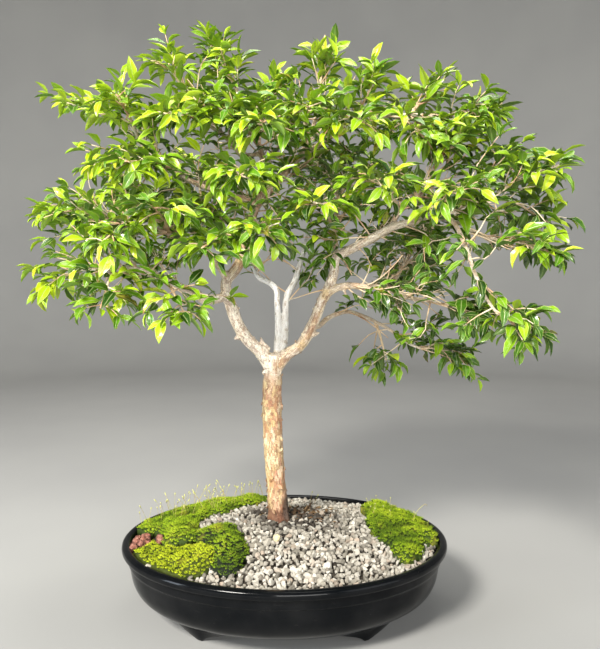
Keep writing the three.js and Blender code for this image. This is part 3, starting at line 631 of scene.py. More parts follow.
class Moss(Patch):
    """A moss cushion: steep from its edge and nearly level inside, with lumps of its own."""

    def __init__(self, points, crown, seed):
        super().__init__(points)
        self.crown = crown
        self.seed = seed

    def holds(self, x, y):
        """The outline's inside, moved here and there by a few millimetres of noise, within the wall."""
        flat = np.stack([x, y, np.zeros_like(x)], -1)
        shift_x, shift_y = [2.6 * smooth_noise(flat, 9, self.seed + step) for step in (5, 6)]
        return super().holds(x + shift_x, y + shift_y) & within_wall(x, y)

    def height(self, x, y):
        """The ground plus the crown and its lumps, times a quarter circle that rises over the shoulder."""
        to_wall = 5 + 140 * (1 - np.hypot(x / GROUND_LONG, y / GROUND_WIDE))
        inside = np.clip(np.minimum(self.distance(x, y), to_wall) / MOSS_SHOULDER, 0, 1)
        return ground(x, y) - 2.6 + (self.crown + 1.6 + self.lumps(x, y)) * np.sqrt(inside * (2 - inside))

    def lumps(self, x, y):
        """Rise and fall by noise of two sizes, in millimetres."""
        flat = np.stack([x, y, np.zeros_like(x)], -1)
        return 2.6 * smooth_noise(flat, 15, self.seed) + 2.4 * smooth_noise(flat, 7, self.seed + 1)


MOSS_PATCHES = {
    "moss_back_left": Moss(
        [(-172, 12), (-166, 46), (-146, 86), (-108, 114), (-62, 130), (-30, 130), (-26, 100),
         (-30, 79), (-44, 64), (-60, 46), (-70, 31), (-84, 30), (-92, 20), (-96, 4), (-93, -12),
         (-88, -24), (-98, -35), (-112, -39), (-124, -36), (-130, -25), (-136, -7), (-145, 2), (-156, 0)],
        crown=9, seed=31),
    "moss_front_left": Moss(
        [(-162, -46), (-150, -34), (-140, -29), (-130, -36), (-116, -43), (-100, -46), (-88, -47),
         (-74, -52), (-67, -64), (-65, -80), (-72, -92), (-84, -98), (-98, -105), (-112, -108),
         (-136, -92), (-154, -72)],
        crown=7, seed=41),
    "moss_dark_left": Moss(
        [(-92, -27), (-84, -18), (-68, -13), (-54, -19), (-46, -33), (-39, -50), (-35, -66),
         (-37, -80), (-43, -95), (-54, -99), (-65, -92), (-72, -74), (-74, -60), (-82, -51), (-93, -41)],
        crown=11, seed=51),
    "moss_right": Moss(
        [(91, 57), (98, 84), (130, 116), (160, 84), (176, 40), (178, 0), (173, -18), (161, -25),
         (150, -26), (145, -38), (142, -54), (132, -67), (124, -73), (117, -66), (110, -54),
         (109, -43), (102, -37), (97, -28), (92, -14), (90, 2), (91, 30)],
        crown=10, seed=61),
}

# Soil without a dressing, round the lava pebbles
BARE_SOIL = Patch([(-174, -52), (-142, -46), (-124, -48), (-100, -50), (-84, -46), (-84, -30), (-99, -16),
                   (-112, -15), (-125, -7), (-141, 9), (-174, 16)])


def on_gravel(x, y):
    """Whether a place is inside the wall and clear of bare soil and of all but the edge of the moss."""
    covered = BARE_SOIL.holds(x, y)
    for patch in MOSS_PATCHES.values():
        covered = covered | (patch.holds(x, y) & (patch.distance(x, y) > 1.5))
    return within_wall(x, y, WALL_INSET + 1.2) & ~covered


def block_shell(count):
    """The corners and outward quads of a cube of count cells a side, corners from -1 to 1."""
    step = np.linspace(-1, 1, count + 1)
    u, v = [axis.ravel() for axis in np.meshgrid(step, step, indexing="ij")]
    low = (np.arange(count)[:, None] * (count + 1) + np.arange(count)).ravel()
    cell = np.stack([low, low + count + 1, low + count + 2, low + 1], -1)
    corners, quads = [], []
    for axis in range(3):
        for side in (-1, 1):
            plate = np.empty(((count + 1) ** 2, 3))
            plate[:, axis] = side
            plate[:, (axis + 1) % 3] = u
            plate[:, (axis + 2) % 3] = v
            quads.append((cell if side > 0 else cell[:, ::-1]) + len(corners) * (count + 1) ** 2)
            corners.append(plate)
    corners = np.concatenate(corners)
    _, keep, merged = np.unique(np.round(corners, 6), axis=0, return_index=True, return_inverse=True)
    return corners[keep], merged.ravel()[np.concatenate(quads)]


def turned(corners, rng):
    """Each of N sets of corners turned by a random rotation, from a random quaternion."""
    w, x, y, z = unit(rng.normal(size=(len(corners), 4))).T
    rows = np.array([[1 - 2 * (y * y + z * z), 2 * (x * y - z * w), 2 * (x * z + y * w)],
                     [2 * (x * y + z * w), 1 - 2 * (x * x + z * z), 2 * (y * z - x * w)],
                     [2 * (x * z - y * w), 2 * (y * z + x * w), 1 - 2 * (x * x + y * y)]])
    return np.einsum("ijn,nkj->nki", rows, corners)


CUTS_A_STONE = 4


def chips(places, sizes, seed, cells, **numbers):
    """Angular stones: a small cube shell blown half up to a ball, shaken, drawn out along its axes, turned,
    and cut flat by a few planes, past each of which a corner moves back along the plane's normal."""
    rng = np.random.default_rng(seed)
    shell, quads = block_shell(cells)
    count = len(places)
    ball = mix(shell, unit(shell) * 1.25, 0.55)
    corners = ball[None] * (1 + rng.uniform(-0.16, 0.16, (count, len(shell), 1)))
    corners = corners * rng.uniform([0.75, 0.62, 0.5], [1.25, 1.0, 0.85], (count, 3))[:, None]
    for _ in range(CUTS_A_STONE):
        normal = unit(rng.normal(size=(count, 1, 3)))
        past = (corners * normal).sum(-1, keepdims=True) - rng.uniform(0.38, 0.72, (count, 1, 1))
        corners = corners - normal * np.maximum(0, past)
    corners = turned(corners, rng) * sizes[:, None, None] / 2 + places[:, None]
    numbers = {key: np.repeat(value, len(shell)) for key, value in numbers.items()}
    return part(corners, [repeated(quads, count, len(shell))], smooth=False, **numbers)


def pumice_layer(pitch, size, sink, cells, seed):
    """A layer of stones over the gravel, darker and browner round the trunk, where leaf mould stains it."""
    rng = np.random.default_rng(seed)
    flat = spots(pitch, on_gravel, seed)
    sizes = size * rng.uniform(0.72, 1.3, len(flat)) * np.where(rng.random(len(flat)) < 0.04, 1.35, 1)
    height = ground(*flat.T) - sink + rng.uniform(-0.7, 0.7, len(flat))
    places = np.concatenate([flat, height[:, None]], -1)
    stain_reach = np.hypot((flat[:, 0] - 5) / 62, (flat[:, 1] - 17) / 45)
    uneven = 0.4 * smooth_noise(places, 16, seed)
    strength = np.where(rng.random(len(flat)) < 0.66, 1, 0.22)
    stain = np.clip((1.2 - stain_reach + uneven) * 1.8, 0, 1) * strength
    return chips(places, sizes, seed + 1, cells, tone=rng.random(len(flat)), stain=stain)


def make_litter(finish):
    """Brown scraps of leaf and bark among the stones behind and right of the trunk: thin curled chips."""
    rng = np.random.default_rng(171)
    count = 210
    x = 15 + 21 * rng.normal(0, 1, count)
    y = 27 + 14 * rng.normal(0, 1, count)
    clear = np.hypot(x - TRUNK_X, y - TRUNK_Y) > 15
    x, y = x[clear], y[clear]
    base = np.stack([x, y, ground(x, y) + rng.uniform(0.6, 2.4, len(x))], -1)
    turn = rng.uniform(0, 2 * np.pi, len(x))
    heading = unit(np.stack([np.cos(turn), np.sin(turn), rng.uniform(-0.15, 0.3, len(x))], -1))
    upper = unit(UP + rng.normal(0, 0.3, (len(x), 3)))
    length = rng.uniform(4, 10, len(x))
    width = length * rng.uniform(0.2, 0.5, len(x))
    scraps = leaf_blades(base, heading, upper, length, width, rng.uniform(-1, 1, len(x)))
    make_piece("leaf_litter", [scraps], [finish])


def lone_stone(x, y, lift, size, seed, tone):
    """One stone that lies on the others."""
    return chips(np.array([[x, y, ground(x, y) + lift]]), np.array([size]), seed, 3, tone=tone, stain=0.0)


def make_gravel(finish):
    """A bed and a lower layer of stones, painted dark as painted shade in the gaps between the stones, an
    upper layer, and two stones that stand out.
    """
    bed = slab(on_gravel, lambda x, y: ground(x, y) - 2.6, lambda x, y: ground(x, y) - 4.2, 4)
    # Painted shade: the bed takes the dark stain colour in full, for the gaps between the stones
    bed["numbers"] = {"tone": 0.0, "stain": 1.0}
    pale_stone = lone_stone(-7.0, -48, lift=1.2, size=9.0, seed=5, tone=2.0)
    quartz = lone_stone(-132.0, -77, lift=1.5, size=8.0, seed=6, tone=0.85)
    upper = pumice_layer(pitch=5.0, size=5.2, sink=0.0, cells=2, seed=221)
    lower = pumice_layer(pitch=4.6, size=4.6, sink=4.2, cells=1, seed=211)
    # Painted shade: the lower layer is painted nearly as dark, for the stones deep in the gaps
    lower["numbers"]["stain"] = np.maximum(lower["numbers"]["stain"], 0.9)
    parts = [bed, lower, upper, pale_stone, quartz]
    make_piece("pumice_dressing", parts, [finish], ["pumice_gravel"])


def needles(foot, tip, radius, **numbers):
    """Slim three-sided spikes from foot to tip; the number `tip` runs from 0 at the foot to 1 at the tip."""
    heading = unit(tip - foot)
    across = unit(np.cross(heading, np.eye(3)[np.argmin(np.abs(heading), axis=1)]))
    ring = foot[:, None] + radius * circle(across, np.cross(heading, across), 3)
    corners = np.concatenate([ring, tip[:, None]], axis=1)
    triangles = np.array([[2, 1, 0], [0, 1, 3], [1, 2, 3], [2, 0, 3]])
    numbers = {key: np.repeat(value, 4) for key, value in numbers.items()}
    numbers["tip"] = np.tile([0.0, 0.0, 0.0, 1.0], len(foot))
    return part(corners, [repeated(triangles, len(foot), 4)], **numbers)


def moss_shoots(patch, pitch, length, blades, spread, radius):
    """Star shoots: from each place a ring of blades leans out from the shoot's axis by the spread."""
    rng = np.random.default_rng(patch.seed)
    flat = spots(pitch, patch.holds, patch.seed)
    foot = np.concatenate([flat, (patch.height(*flat.T) - 0.4)[:, None]], -1)
    axis = unit(UP + rng.normal(0, 0.22, (len(foot), 3)))
    turn = full_turn(blades) + rng.uniform(0, 6.3, (len(foot), 1))
    lean = np.radians(spread) * rng.uniform(0.5, 1.2, turn.shape)
    out = np.stack([np.cos(turn), np.sin(turn), np.zeros_like(turn)], -1) * np.sin(lean)[..., None]
    heading = unit(axis[:, None] * np.cos(lean)[..., None] + out)
    reach = length * rng.uniform(0.6, 1.15, (len(foot), 1)) * rng.uniform(0.8, 1.1, turn.shape)
    foot = np.repeat(foot, blades, axis=0)
    hue = np.repeat(rng.random(len(flat)), blades)
    high = np.repeat(patch.lumps(*flat.T), blades)
    return needles(foot, foot + heading.reshape(-1, 3) * reach.reshape(-1, 1), radius, hue=hue, high=high)


def make_moss(finishes):
    """Four cushions: fine velvet behind, pale and coarse in front, dark by the trunk, needles on the right.
    Each has its finish, then its shoots' pitch, length, blades, spread in degrees and blade radius."""
    kinds = {
        "moss_back_left": ("moss_mid", 2.9, 4.3, 7, 38, 0.62),
        "moss_front_left": ("moss_light", 3.2, 3.6, 8, 44, 0.7),
        "moss_dark_left": ("moss_dark", 3.1, 4.0, 8, 42, 0.62),
        "moss_right": ("moss_mid", 3.2, 4.8, 8, 36, 0.6),
    }
    for name, (slot, pitch, length, blades, spread, radius) in kinds.items():
        patch = MOSS_PATCHES[name]
        cushion = slab(patch.holds, patch.height, lambda x, y: ground(x, y) - SOIL_DEPTH + 0.2, 2.4)
        # The cushion's tip is 0, so its finish gives it the deep colour: painted shade between the shoots
        cushion["numbers"] = {"tip": 0.0, "hue": 0.5, "high": patch.lumps(*cushion["corners"][:, :2].T)}
        shoots = moss_shoots(patch, pitch, length, blades, spread, radius)
        make_piece(name.replace("moss", "cushion"), [cushion, shoots], [finishes[slot]], [name])


def make_moss_stalks(finish):
    """Spore stalks: a thin bowed tube that swells into a capsule at its end."""
    rng = np.random.default_rng(83)
    groups = [("moss_back_left", 66, 15, 25), ("moss_right", 14, 7, 12)]
    feet, heights = [], []
    for name, count, low, high in groups:
        patch = MOSS_PATCHES[name]
        flat = spots(4.5, patch.holds, patch.seed)
        flat = flat[(flat[:, 1] > 8) & (patch.distance(*flat.T) > 4)]
        flat = flat[rng.choice(len(flat), count, replace=False)]
        feet.append(np.concatenate([flat, (patch.height(*flat.T) - 1)[:, None]], -1))
        heights.append(rng.uniform(low, high, count))
    loose = np.array([(34.0, 70.0), (30.0, 74.0), (112.0, 84.0), (-4.0, 92.0)])
    feet.append(np.concatenate([loose, ground(*loose.T)[:, None]], -1))
    heights.append(rng.uniform(14, 20, len(loose)))
    feet, heights = np.concatenate(feet), np.concatenate(heights)
    share = np.array([0, 0.3, 0.6, 0.82, 0.88, 0.92, 0.96, 1.0])
    lean = rng.normal(0, 0.2, (len(feet), 2))
    bow = rng.normal(0, 0.22, (len(feet), 2))
    side = lean[:, None] * share[:, None] + bow[:, None] * (share**2)[:, None]
    routes = np.concatenate([side, np.broadcast_to(share[:, None], (*side.shape[:2], 1))], -1)
    routes = feet[:, None] + routes * heights[:, None, None]
    radii = np.array([0.22, 0.19, 0.16, 0.15, 0.4, 0.78, 0.74, 0.3])
    tip = np.array([0, 0, 0, 0, 0.6, 1, 1, 1])
    sides = 5
    thread = Route([(143, 8, 92), (147, 6, 103), (153, 5, 110), (157, 6, 112), (158.5, 7, 109)])
    curled = tubes([thread.at(np.linspace(0, 1, 14))], 0.24, sides)
    stalks = tubes(routes, radii, sides)
    stalks["numbers"] = {"tip": np.tile([*np.repeat(tip, sides), 0, 1], len(feet))}
    make_piece("spore_stalks", [stalks, curled], [finish])


def make_lava(finish):
    """Porous pebbles: a ball pushed out and in by coarse noise, and pitted where fine noise runs high.
    Each stone has its x, its y, its size and how high it lies on the others."""
    clusters = {
        "lava_pebble_cluster": [(-160, -22, 9, 1), (-152, -28, 9, 3), (-156, -8, 9, 1), (-149, -13, 8, 1),
                                (-159, -34, 9, 4), (-162, -13, 8, 1), (-153, -19, 10, 3), (-146, -23, 7.5, 2),
                                (-156, 0, 8, 1), (-157, -27, 7.5, 8), (-151, -5, 7, 3), (-159, -15, 7, 7)],
        "lava_pebble_single": [(-134, -20, 11, 1), (-128, -24, 7, 1)],
    }
    shell, quads = block_shell(8)
    for number, (node, stones) in enumerate(clusters.items()):
        rng = np.random.default_rng(91 + number)
        parts = []
        for x, y, size, lift in stones:
            ball = unit(shell) * rng.uniform(0.8, 1.05, 3)
            seed = int(rng.integers(1000))
            reach = 1 + 0.26 * smooth_noise(ball, 0.7, seed) + 0.16 * smooth_noise(ball, 0.34, seed + 1)
            pits = np.maximum(0, smooth_noise(ball, 0.2, seed + 2) - 0.25)
            corners = ball * (reach - 0.28 * pits)[:, None] * size / 2
            corners = turned(corners[None], rng)[0]
            middle = [x, y, ground(x, y) - SOIL_DEPTH + size * 0.5 + lift]
            parts.append(part(corners + middle, [quads], tone=rng.random()))
        make_piece(node.replace("lava", "red_lava"), parts, [finish], [node])


def make_soil(finish):
    """Soil: a closed lathe that fills the pot to a little under the dressing, its top crumbled by noise,
    and loose crumbs where it lies bare."""
    sides = 72
    rings_on_top = 32
    inset, rise = np.array([(80, FLOOR_TOP + 0.6), (46.6, 15.6), (24.8, 27.6), (13.8, 50.6), (11.8, 70)]).T
    radius = np.concatenate([HALF_LENGTH - inset, np.linspace(166, 4, rings_on_top)])
    height = np.concatenate([rise, np.zeros(rings_on_top)])
    corners = oval(radius[:, None], full_turn(sides)[None], height[:, None])
    top = corners[len(inset):]
    crumbs = 0.6 * smooth_noise(top * [1, 1, 0], 4, 7) + 0.5 * smooth_noise(top * [1, 1, 0], 2.4, 8)
    top[..., 2] = ground(top[..., 0], top[..., 1]) - SOIL_DEPTH + crumbs
    poles = [[0, 0, FLOOR_TOP + 0.6], [0, 0, ground(0, 0) - SOIL_DEPTH]]
    corners = np.concatenate([corners.reshape(-1, 3), poles])
    body = part(corners, ringed_faces(1, len(radius), sides), tone=0.3)
    rng = np.random.default_rng(97)
    flat = spots(2.9, lambda x, y: BARE_SOIL.holds(x, y) & within_wall(x, y), 98)
    places = np.concatenate([flat, (ground(*flat.T) - SOIL_DEPTH + 0.6)[:, None]], -1)
    loose = chips(places, rng.uniform(1.6, 3.4, len(flat)), 99, 1, tone=rng.random(len(flat)))
    make_piece("soil_fill", [body, loose], [finish], ["soil"])


# The wood

# Each limb: the points of its route, and its radii from one end to the other
LIMBS = {
    "trunk": (
        [(TRUNK_X, TRUNK_Y, TRUNK_FOOT), (TRUNK_X, TRUNK_Y, 95), (-10, 4, 140), (-13, 2, 185),
         (-14, 0, 225), (-13, 0, 258), (-12, -1, 280)],
        [13.5, 12.2, 10.4, 10, 10.6, 10.4, 9]),
    "left": (
        [(-12, -1, 262), (-24, -3, 281), (-39, -8, 297), (-49, -12, 313), (-55, -15, 330),
         (-61, -18, 348)],
        [7.6, 6.8, 6.4, 6.2]),
    "leader": (
        [(-60, -17, 340), (-61, -17, 359), (-51, -10, 373), (-44, -5, 388), (-41, 0, 402),
         (-38, 8, 420), (-31, 15, 443), (-24, 22, 470), (-25, 28, 497), (-34, 30, 526),
         (-46, 26, 552)],
        [6, 5.3, 4.9, 4.4, 3.6, 2.6, 1.8]),
    "left_low": (
        [(-58, -17, 346), (-71, -24, 341), (-82, -32, 340), (-90, -38, 348), (-106, -48, 355),
         (-137, -56, 369), (-167, -42, 374), (-204, -14, 372)],
        [4.8, 4.2, 3.6, 2.8, 1.8]),
    "left_spur": (
        [(-61, -16, 362), (-69, -24, 378), (-82, -40, 392), (-104, -56, 404), (-140, -58, 414),
         (-184, -28, 424)],
        [3.4, 3, 2.4, 1.7]),
    "left_back": (
        [(-41, 0, 398), (-56, 32, 420), (-84, 66, 440), (-118, 90, 450), (-150, 102, 456)],
        [3.6, 3, 2.4, 1.7]),
    "left_up": (
        [(-31, 15, 443), (-56, 0, 452), (-88, -16, 460), (-122, -20, 480), (-152, -8, 506),
         (-184, 8, 532)],
        [3.4, 3, 2.4, 1.7]),
    "top_left": (
        [(-24, 22, 470), (-42, 12, 490), (-62, 0, 512), (-86, -8, 540), (-104, -12, 562)],
        [3, 2.6, 2.2, 1.7]),
    "centre": (
        [(-31, 14, 440), (-16, 22, 460), (2, 24, 480), (20, 24, 504), (32, 22, 532), (38, 20, 560)],
        [3.8, 3.2, 2.6, 1.7]),
    "right_top": (
        [(10, 24, 490), (38, 22, 510), (70, 14, 526), (104, 8, 536), (138, 8, 538), (170, 2, 534)],
        [3, 2.6, 2.2, 1.7]),
    "middle": (
        [(-6, 2, 272), (-1, 12, 292), (0, 20, 306), (0, 26, 322), (1, 32, 337), (3, 37, 346),
         (10, 46, 358), (15, 56, 374), (21, 66, 394), (27, 80, 420), (32, 94, 450)],
        [4.6, 4.2, 4, 3.2, 2.6, 1.8]),
    "middle_left": (
        [(-9, 2, 272), (-8, 14, 298), (-8, 20, 317), (-9, 25, 336), (-10, 28, 350), (-18, 34, 358),
         (-30, 43, 364), (-37, 52, 376), (-42, 64, 392), (-48, 80, 416), (-50, 92, 440)],
        [3.8, 3.6, 3.4, 3, 2.4, 1.8]),
    "right": (
        [(-12, 0, 262), (2, -3, 280), (14, -8, 288), (22, -12, 298), (30, -16, 314), (38, -20, 334),
         (43, -21, 347)],
        [7.4, 6.2, 5.6, 5.2]),
    "right_up": (
        [(42, -21, 342), (48, -20, 355), (52, -18, 368), (55, -16, 385), (66, -20, 391),
         (85, -30, 401), (109, -38, 414), (135, -46, 420), (162, -52, 425), (188, -54, 434),
         (214, -58, 440)],
        [5.6, 5, 4.6, 4, 3.2, 2.4, 1.7]),
    "right_stub": (
        [(55, -16, 382), (55, -4, 401), (56, 12, 424), (60, 32, 450), (74, 54, 476)],
        [3, 2.6, 2.2, 1.7]),
    "right_fork": (
        [(106, -37, 412), (118, -34, 430), (132, -30, 444), (144, -30, 458), (152, -34, 474)],
        [3.2, 2.8, 2.2, 1.7]),
    "right_spiny": (
        [(166, -53, 426), (180, -62, 412), (194, -70, 404), (210, -76, 398)],
        [2.6, 2.2, 1.6]),
    "right_drop": (
        [(160, -52, 425), (163, -78, 416), (166, -92, 404), (169, -106, 388), (174, -116, 366),
         (182, -121, 346), (192, -122, 332)],
        [2.8, 2.4, 2, 1.6]),
    "right_mid": (
        [(42, -21, 344), (52, -22, 351), (64, -25, 355), (84, -24, 354), (107, -20, 353),
         (124, -20, 344), (146, -24, 340), (166, -28, 336)],
        [4.2, 3.6, 3, 2.4, 1.7]),
    "right_back": (
        [(104, -20, 354), (120, 4, 362), (130, 26, 374), (146, 52, 392), (172, 78, 418)],
        [2.8, 2.4, 2, 1.6]),
    "right_low": (
        [(30, -16, 311), (38, -2, 312), (46, 12, 318), (58, 25, 323), (72, 37, 325), (86, 46, 321),
         (104, 53, 313), (122, 58, 303), (142, 60, 288), (160, 58, 280)],
        [3.2, 2.8, 2.4, 2, 1.6]),
}

# Each spray: its name, its limb, the share of the limb where it starts, its middle and its reach
SPRAYS = [
    ("crown_left", "top_left", 1, (-125, -14, 582), 42),
    ("crown_leader", "leader", 1, (-72, 8, 600), 44),
    ("crown_left_back", "leader", 0.86, (-103, 62, 566), 44),
    ("crown_middle", "leader", 0.93, (-16, 46, 572), 42),
    ("crown_centre", "centre", 1, (41, 20, 590), 46),
    ("crown_right", "right_top", 0.45, (93, 4, 567), 46),
    ("crown_right_far", "right_top", 0.8, (156, 20, 560), 46),
    ("crown_right_tip", "right_top", 1, (208, -10, 535), 44),
    ("upper_left_tip", "left_up", 1, (-222, 20, 548), 48),
    ("upper_left", "left_up", 0.78, (-160, -46, 536), 44),
    ("upper_left_middle", "top_left", 0.5, (-106, -62, 520), 44),
    ("upper_middle", "leader", 0.78, (-58, -52, 526), 42),
    ("upper_front", "centre", 0.4, (-17, -78, 508), 44),
    ("upper_front_right", "centre", 0.62, (24, -70, 524), 44),
    ("upper_right", "right_top", 0.25, (70, -74, 512), 44),
    ("upper_right_middle", "right_top", 0.66, (132, -56, 505), 44),
    ("upper_right_far", "right_fork", 1, (170, -48, 496), 44),
    ("side_left_back", "left_up", 0.66, (-206, 46, 494), 48),
    ("side_left", "left_up", 0.5, (-142, -72, 474), 44),
    ("side_left_tip", "left_spur", 1, (-246, 14, 434), 48),
    ("low_left_front", "left_spur", 0.72, (-162, -88, 402), 44),
    ("middle_left", "left_spur", 0.5, (-114, -100, 424), 42),
    ("inner_left", "left_back", 0.3, (-92, -22, 436), 38),
    ("front_left", "leader", 0.3, (-70, -98, 392), 40),
    ("front_upper", "leader", 0.56, (-38, -88, 458), 42),
    ("front_centre", "leader", 0.36, (-16, -100, 404), 40),
    ("low_left_tip", "left_low", 1, (-254, 32, 360), 46),
    ("low_left", "left_low", 0.76, (-170, -84, 344), 44),
    ("low_left_inner", "left_low", 0.46, (-94, -98, 336), 36),
    ("back_left", "left_back", 1, (-196, 106, 466), 46),
    ("back_left_middle", "left_back", 0.66, (-112, 106, 500), 44),
    ("back_centre", "middle_left", 1, (-48, 108, 476), 42),
    ("back_right", "middle", 1, (38, 108, 498), 44),
    ("front_right", "right_stub", 0.28, (32, -86, 432), 42),
    ("front_right_middle", "right_fork", 0.3, (86, -94, 452), 44),
    ("inner_right", "right_stub", 1, (106, 80, 500), 46),
    ("back_right_far", "right_back", 1, (206, 100, 452), 46),
    ("right_front", "right_up", 0.7, (160, -104, 440), 42),
    ("right_upper", "right_up", 0.84, (226, -24, 488), 46),
    ("right_tip_upper", "right_up", 0.93, (252, -72, 466), 44),
    ("right_tip", "right_up", 1, (256, -44, 424), 44),
    ("right_lower", "right_spiny", 1, (242, -96, 388), 40),
    ("drop_tip", "right_drop", 1, (214, -114, 318), 40),
    ("drop_inner", "right_mid", 1, (197, -34, 330), 42),
    ("low_right_back", "right_back", 0.5, (160, 92, 376), 42),
    ("low_right_tip", "right_low", 1, (194, 58, 276), 44),
    ("low_right_front", "right_low", 0.62, (118, 70, 274), 34),
]


def limb_route(name):
    """The smooth route of a limb."""
    return Route(LIMBS[name][0])


def read_evenly(values, share):
    """Values that stand evenly over a length, read by share of it."""
    return np.interp(share, np.linspace(0, 1, len(values)), values)


def limb_radius(name, share):
    return read_evenly(LIMBS[name][1], share)


# Roots that flare out of the trunk's foot, swellings and the stubs of cut twigs: points and radii
ROOTS = [
    ([(-2, 1, 120), (0.5, -1, 109), (2.5, -3, 99), (3.5, -4, 91)], [2, 2.6, 2.5, 2.2]),
    ([(-13, 4, 110), (-15.5, 3, 101), (-16.5, 2, 92)], [4, 4.2, 3.2]),
    ([(-7, 12, 116), (-4, 17, 104), (-1, 21, 93)], [4.6, 4.6, 3.2]),
]
KNOTS = [
    ([(-17, -2, 226), (-20, -7, 226), (-22, -9, 226)], [5, 3.4, 2]),
    ([(-17, -2, 286), (-23, -4, 293), (-26, -3, 299)], [3, 2, 1.2]),
    ([(-62, -17, 368), (-69, -20, 374), (-73, -22, 378)], [3, 2.2, 1.4]),
    ([(-48, -12, 301), (-52, -10, 299), (-54, -9, 298)], [3.6, 2.2, 1.2]),
    ([(-7, -1, 222), (-4, -2, 224), (-2.4, -3, 225)], [4.4, 2.8, 1.6]),
    ([(-7, 0, 208), (-4, -1, 209), (-2.8, -2, 209)], [4, 2.4, 1.4]),
    ([(-30, 26, 500), (-36, 25, 499), (-41, 23, 500)], [2.6, 2.2, 1.4]),
    ([(30, -16, 303), (35, -15, 304), (38, -14, 306)], [3, 1.9, 1.1]),
    ([(60, -24, 354), (63, -25, 349), (65, -26, 345)], [2.4, 1.6, 1]),
    ([(-13, 3, 160), (-18, 1, 161), (-20, 0, 162)], [4, 2.4, 1.3]),
    ([(44, -20, 352), (48, -25, 353), (50, -29, 355)], [3, 2, 1.1]),
]


def limb_tube(route, radii, lumps, seed):
    """A limb as one tube: its radius swells and narrows by noise along it."""
    route = Route(route)
    share = np.linspace(0, 1, max(4, int(route.length / 2.2)))
    places = route.at(share)
    coarse, fine = smooth_noise(places, 17, seed), smooth_noise(places, 7, seed + 1)
    radius = read_evenly(radii, share) * (1 + lumps * coarse + lumps / 2 * fine)
    return tubes(places[None], radius[None], 18)


# Where the left and the right limb fork again, under pale bark
PALE_ELBOWS = [(-60, -17, 348), (43, -21, 346)]


def bark_numbers(points):
    """What the bark finish reads at each point, from how near the skin of each limb is: pale on the two
    middle limbs, umber on the right ones, cream about the fork and on the left, slim on thin wood, damp at
    the foot, a painted shadow in the dark notch beside it, sunny towards the left of each limb for the
    painted sunlight there. Then the point with half of the way along its limb taken out, which draws
    patches out along it, and the limb's radius."""
    share = np.linspace(0, 1, 70)
    beyond, middles, radii = [], [], []
    for name in LIMBS:
        centres, radius = limb_route(name).at(share), limb_radius(name, share)
        square = (points**2).sum(1)[:, None] - 2 * points @ centres.T + (centres**2).sum(1)
        nearest = square.argmin(axis=1)
        beyond.append(np.sqrt(np.maximum(0, square.min(axis=1))) - radius[nearest])
        middles.append(centres[nearest])
        radii.append(radius[nearest])
    beyond, middles, radii = np.array(beyond), np.array(middles), np.array(radii)
    own = beyond.argmin(axis=0)
    every = np.arange(len(points))
    names = list(LIMBS)

    def belongs(*chosen):
        rows = [names.index(name) for name in chosen]
        return np.clip(1.3 - (beyond[rows].min(axis=0) - beyond.min(axis=0)) / 2.5, 0, 1)

    height = points[:, 2]
    about_fork = np.clip(1 - np.abs(height - 285) / 45, 0, 1)
    about_elbow = [np.clip(1.5 - np.linalg.norm(points - elbow, axis=1) / 24, 0, 1) for elbow in PALE_ELBOWS]
    radius = radii[own, every]
    numbers = {
        "pale": belongs("middle", "middle_left"),
        "umber": belongs("right", "right_low", "right_mid"),
        "cream": np.maximum.reduce([about_fork, belongs("left", "left_low", "right_up"), *about_elbow]),
        "slim": np.clip(1 - (radius - 1.8) / 3.4, 0, 1),
        "damp": np.clip((124 - height) / 28, 0, 1),
        # Painted shadow in the dark notch between the trunk's foot and the moss and litter to its right
        "rot": np.clip(2.2 - np.hypot((points[:, 0] - 2) / 3, (height - 110) / 9), 0, 1),
        "sunny": np.clip((middles[own, every, 0] - points[:, 0]) / radius, -1, 1),
    }
    return numbers, points - 0.55 * middles[own, every], radius


def make_wood(bark):
    """Trunk, limbs, roots and knots are welded by a fine voxel remesh and smoothed; then the skin moves
    along its normals by noise drawn out along the limbs, less where a limb is thin, and the edges of
    peeled patches stand up by a step of noise."""
    grown = [limb_tube(route, radii, 0.06, 11 + 2 * n) for n, (route, radii) in enumerate(LIMBS.values())]
    grown += [limb_tube(route, radii, 0.1, 61 + 2 * n) for n, (route, radii) in enumerate(ROOTS + KNOTS)]
    wood = make_piece("living_wood", grown, [bark], ["trunk_and_limbs"])
    weld = wood.modifiers.new("weld", "REMESH")
    weld.mode = "VOXEL"
    weld.voxel_size = 1.3 * MM
    relax = wood.modifiers.new("relax", "SMOOTH")
    relax.factor = 0.5
    relax.iterations = 4
    bake_modifiers(wood)
    mesh = wood.data
    points = np.empty(len(mesh.vertices) * 3, np.float32)
    mesh.vertices.foreach_get("co", points)
    normals = np.empty_like(points)
    mesh.vertex_normals.foreach_get("vector", normals)
    points, normals = points.reshape(-1, 3) / MM, normals.reshape(-1, 3)
    numbers, drawn, radius = bark_numbers(points)
    grain = 0.5 * smooth_noise(drawn, 4.5, 301) + 0.3 * smooth_noise(drawn, 2.2, 302)
    peeled = np.clip(smooth_noise(drawn, 6, 303) * 9 - 1, 0, 1)
    scale = np.clip(radius / 10, 0.15, 1.1)
    points = points + normals * ((grain + 0.35 * peeled + 0.15) * scale * 0.9)[:, None]
    points = np.clip(points * MM, CAD_LOW, CAD_HIGH)
    mesh.vertices.foreach_set("co", points.astype(np.float32).ravel())
    mesh.polygons.foreach_set("use_smooth", np.ones(len(mesh.polygons), bool))
    for key, values in numbers.items():
        set_numbers(mesh, key, values)
    set_numbers(mesh, "drawn", drawn * MM)


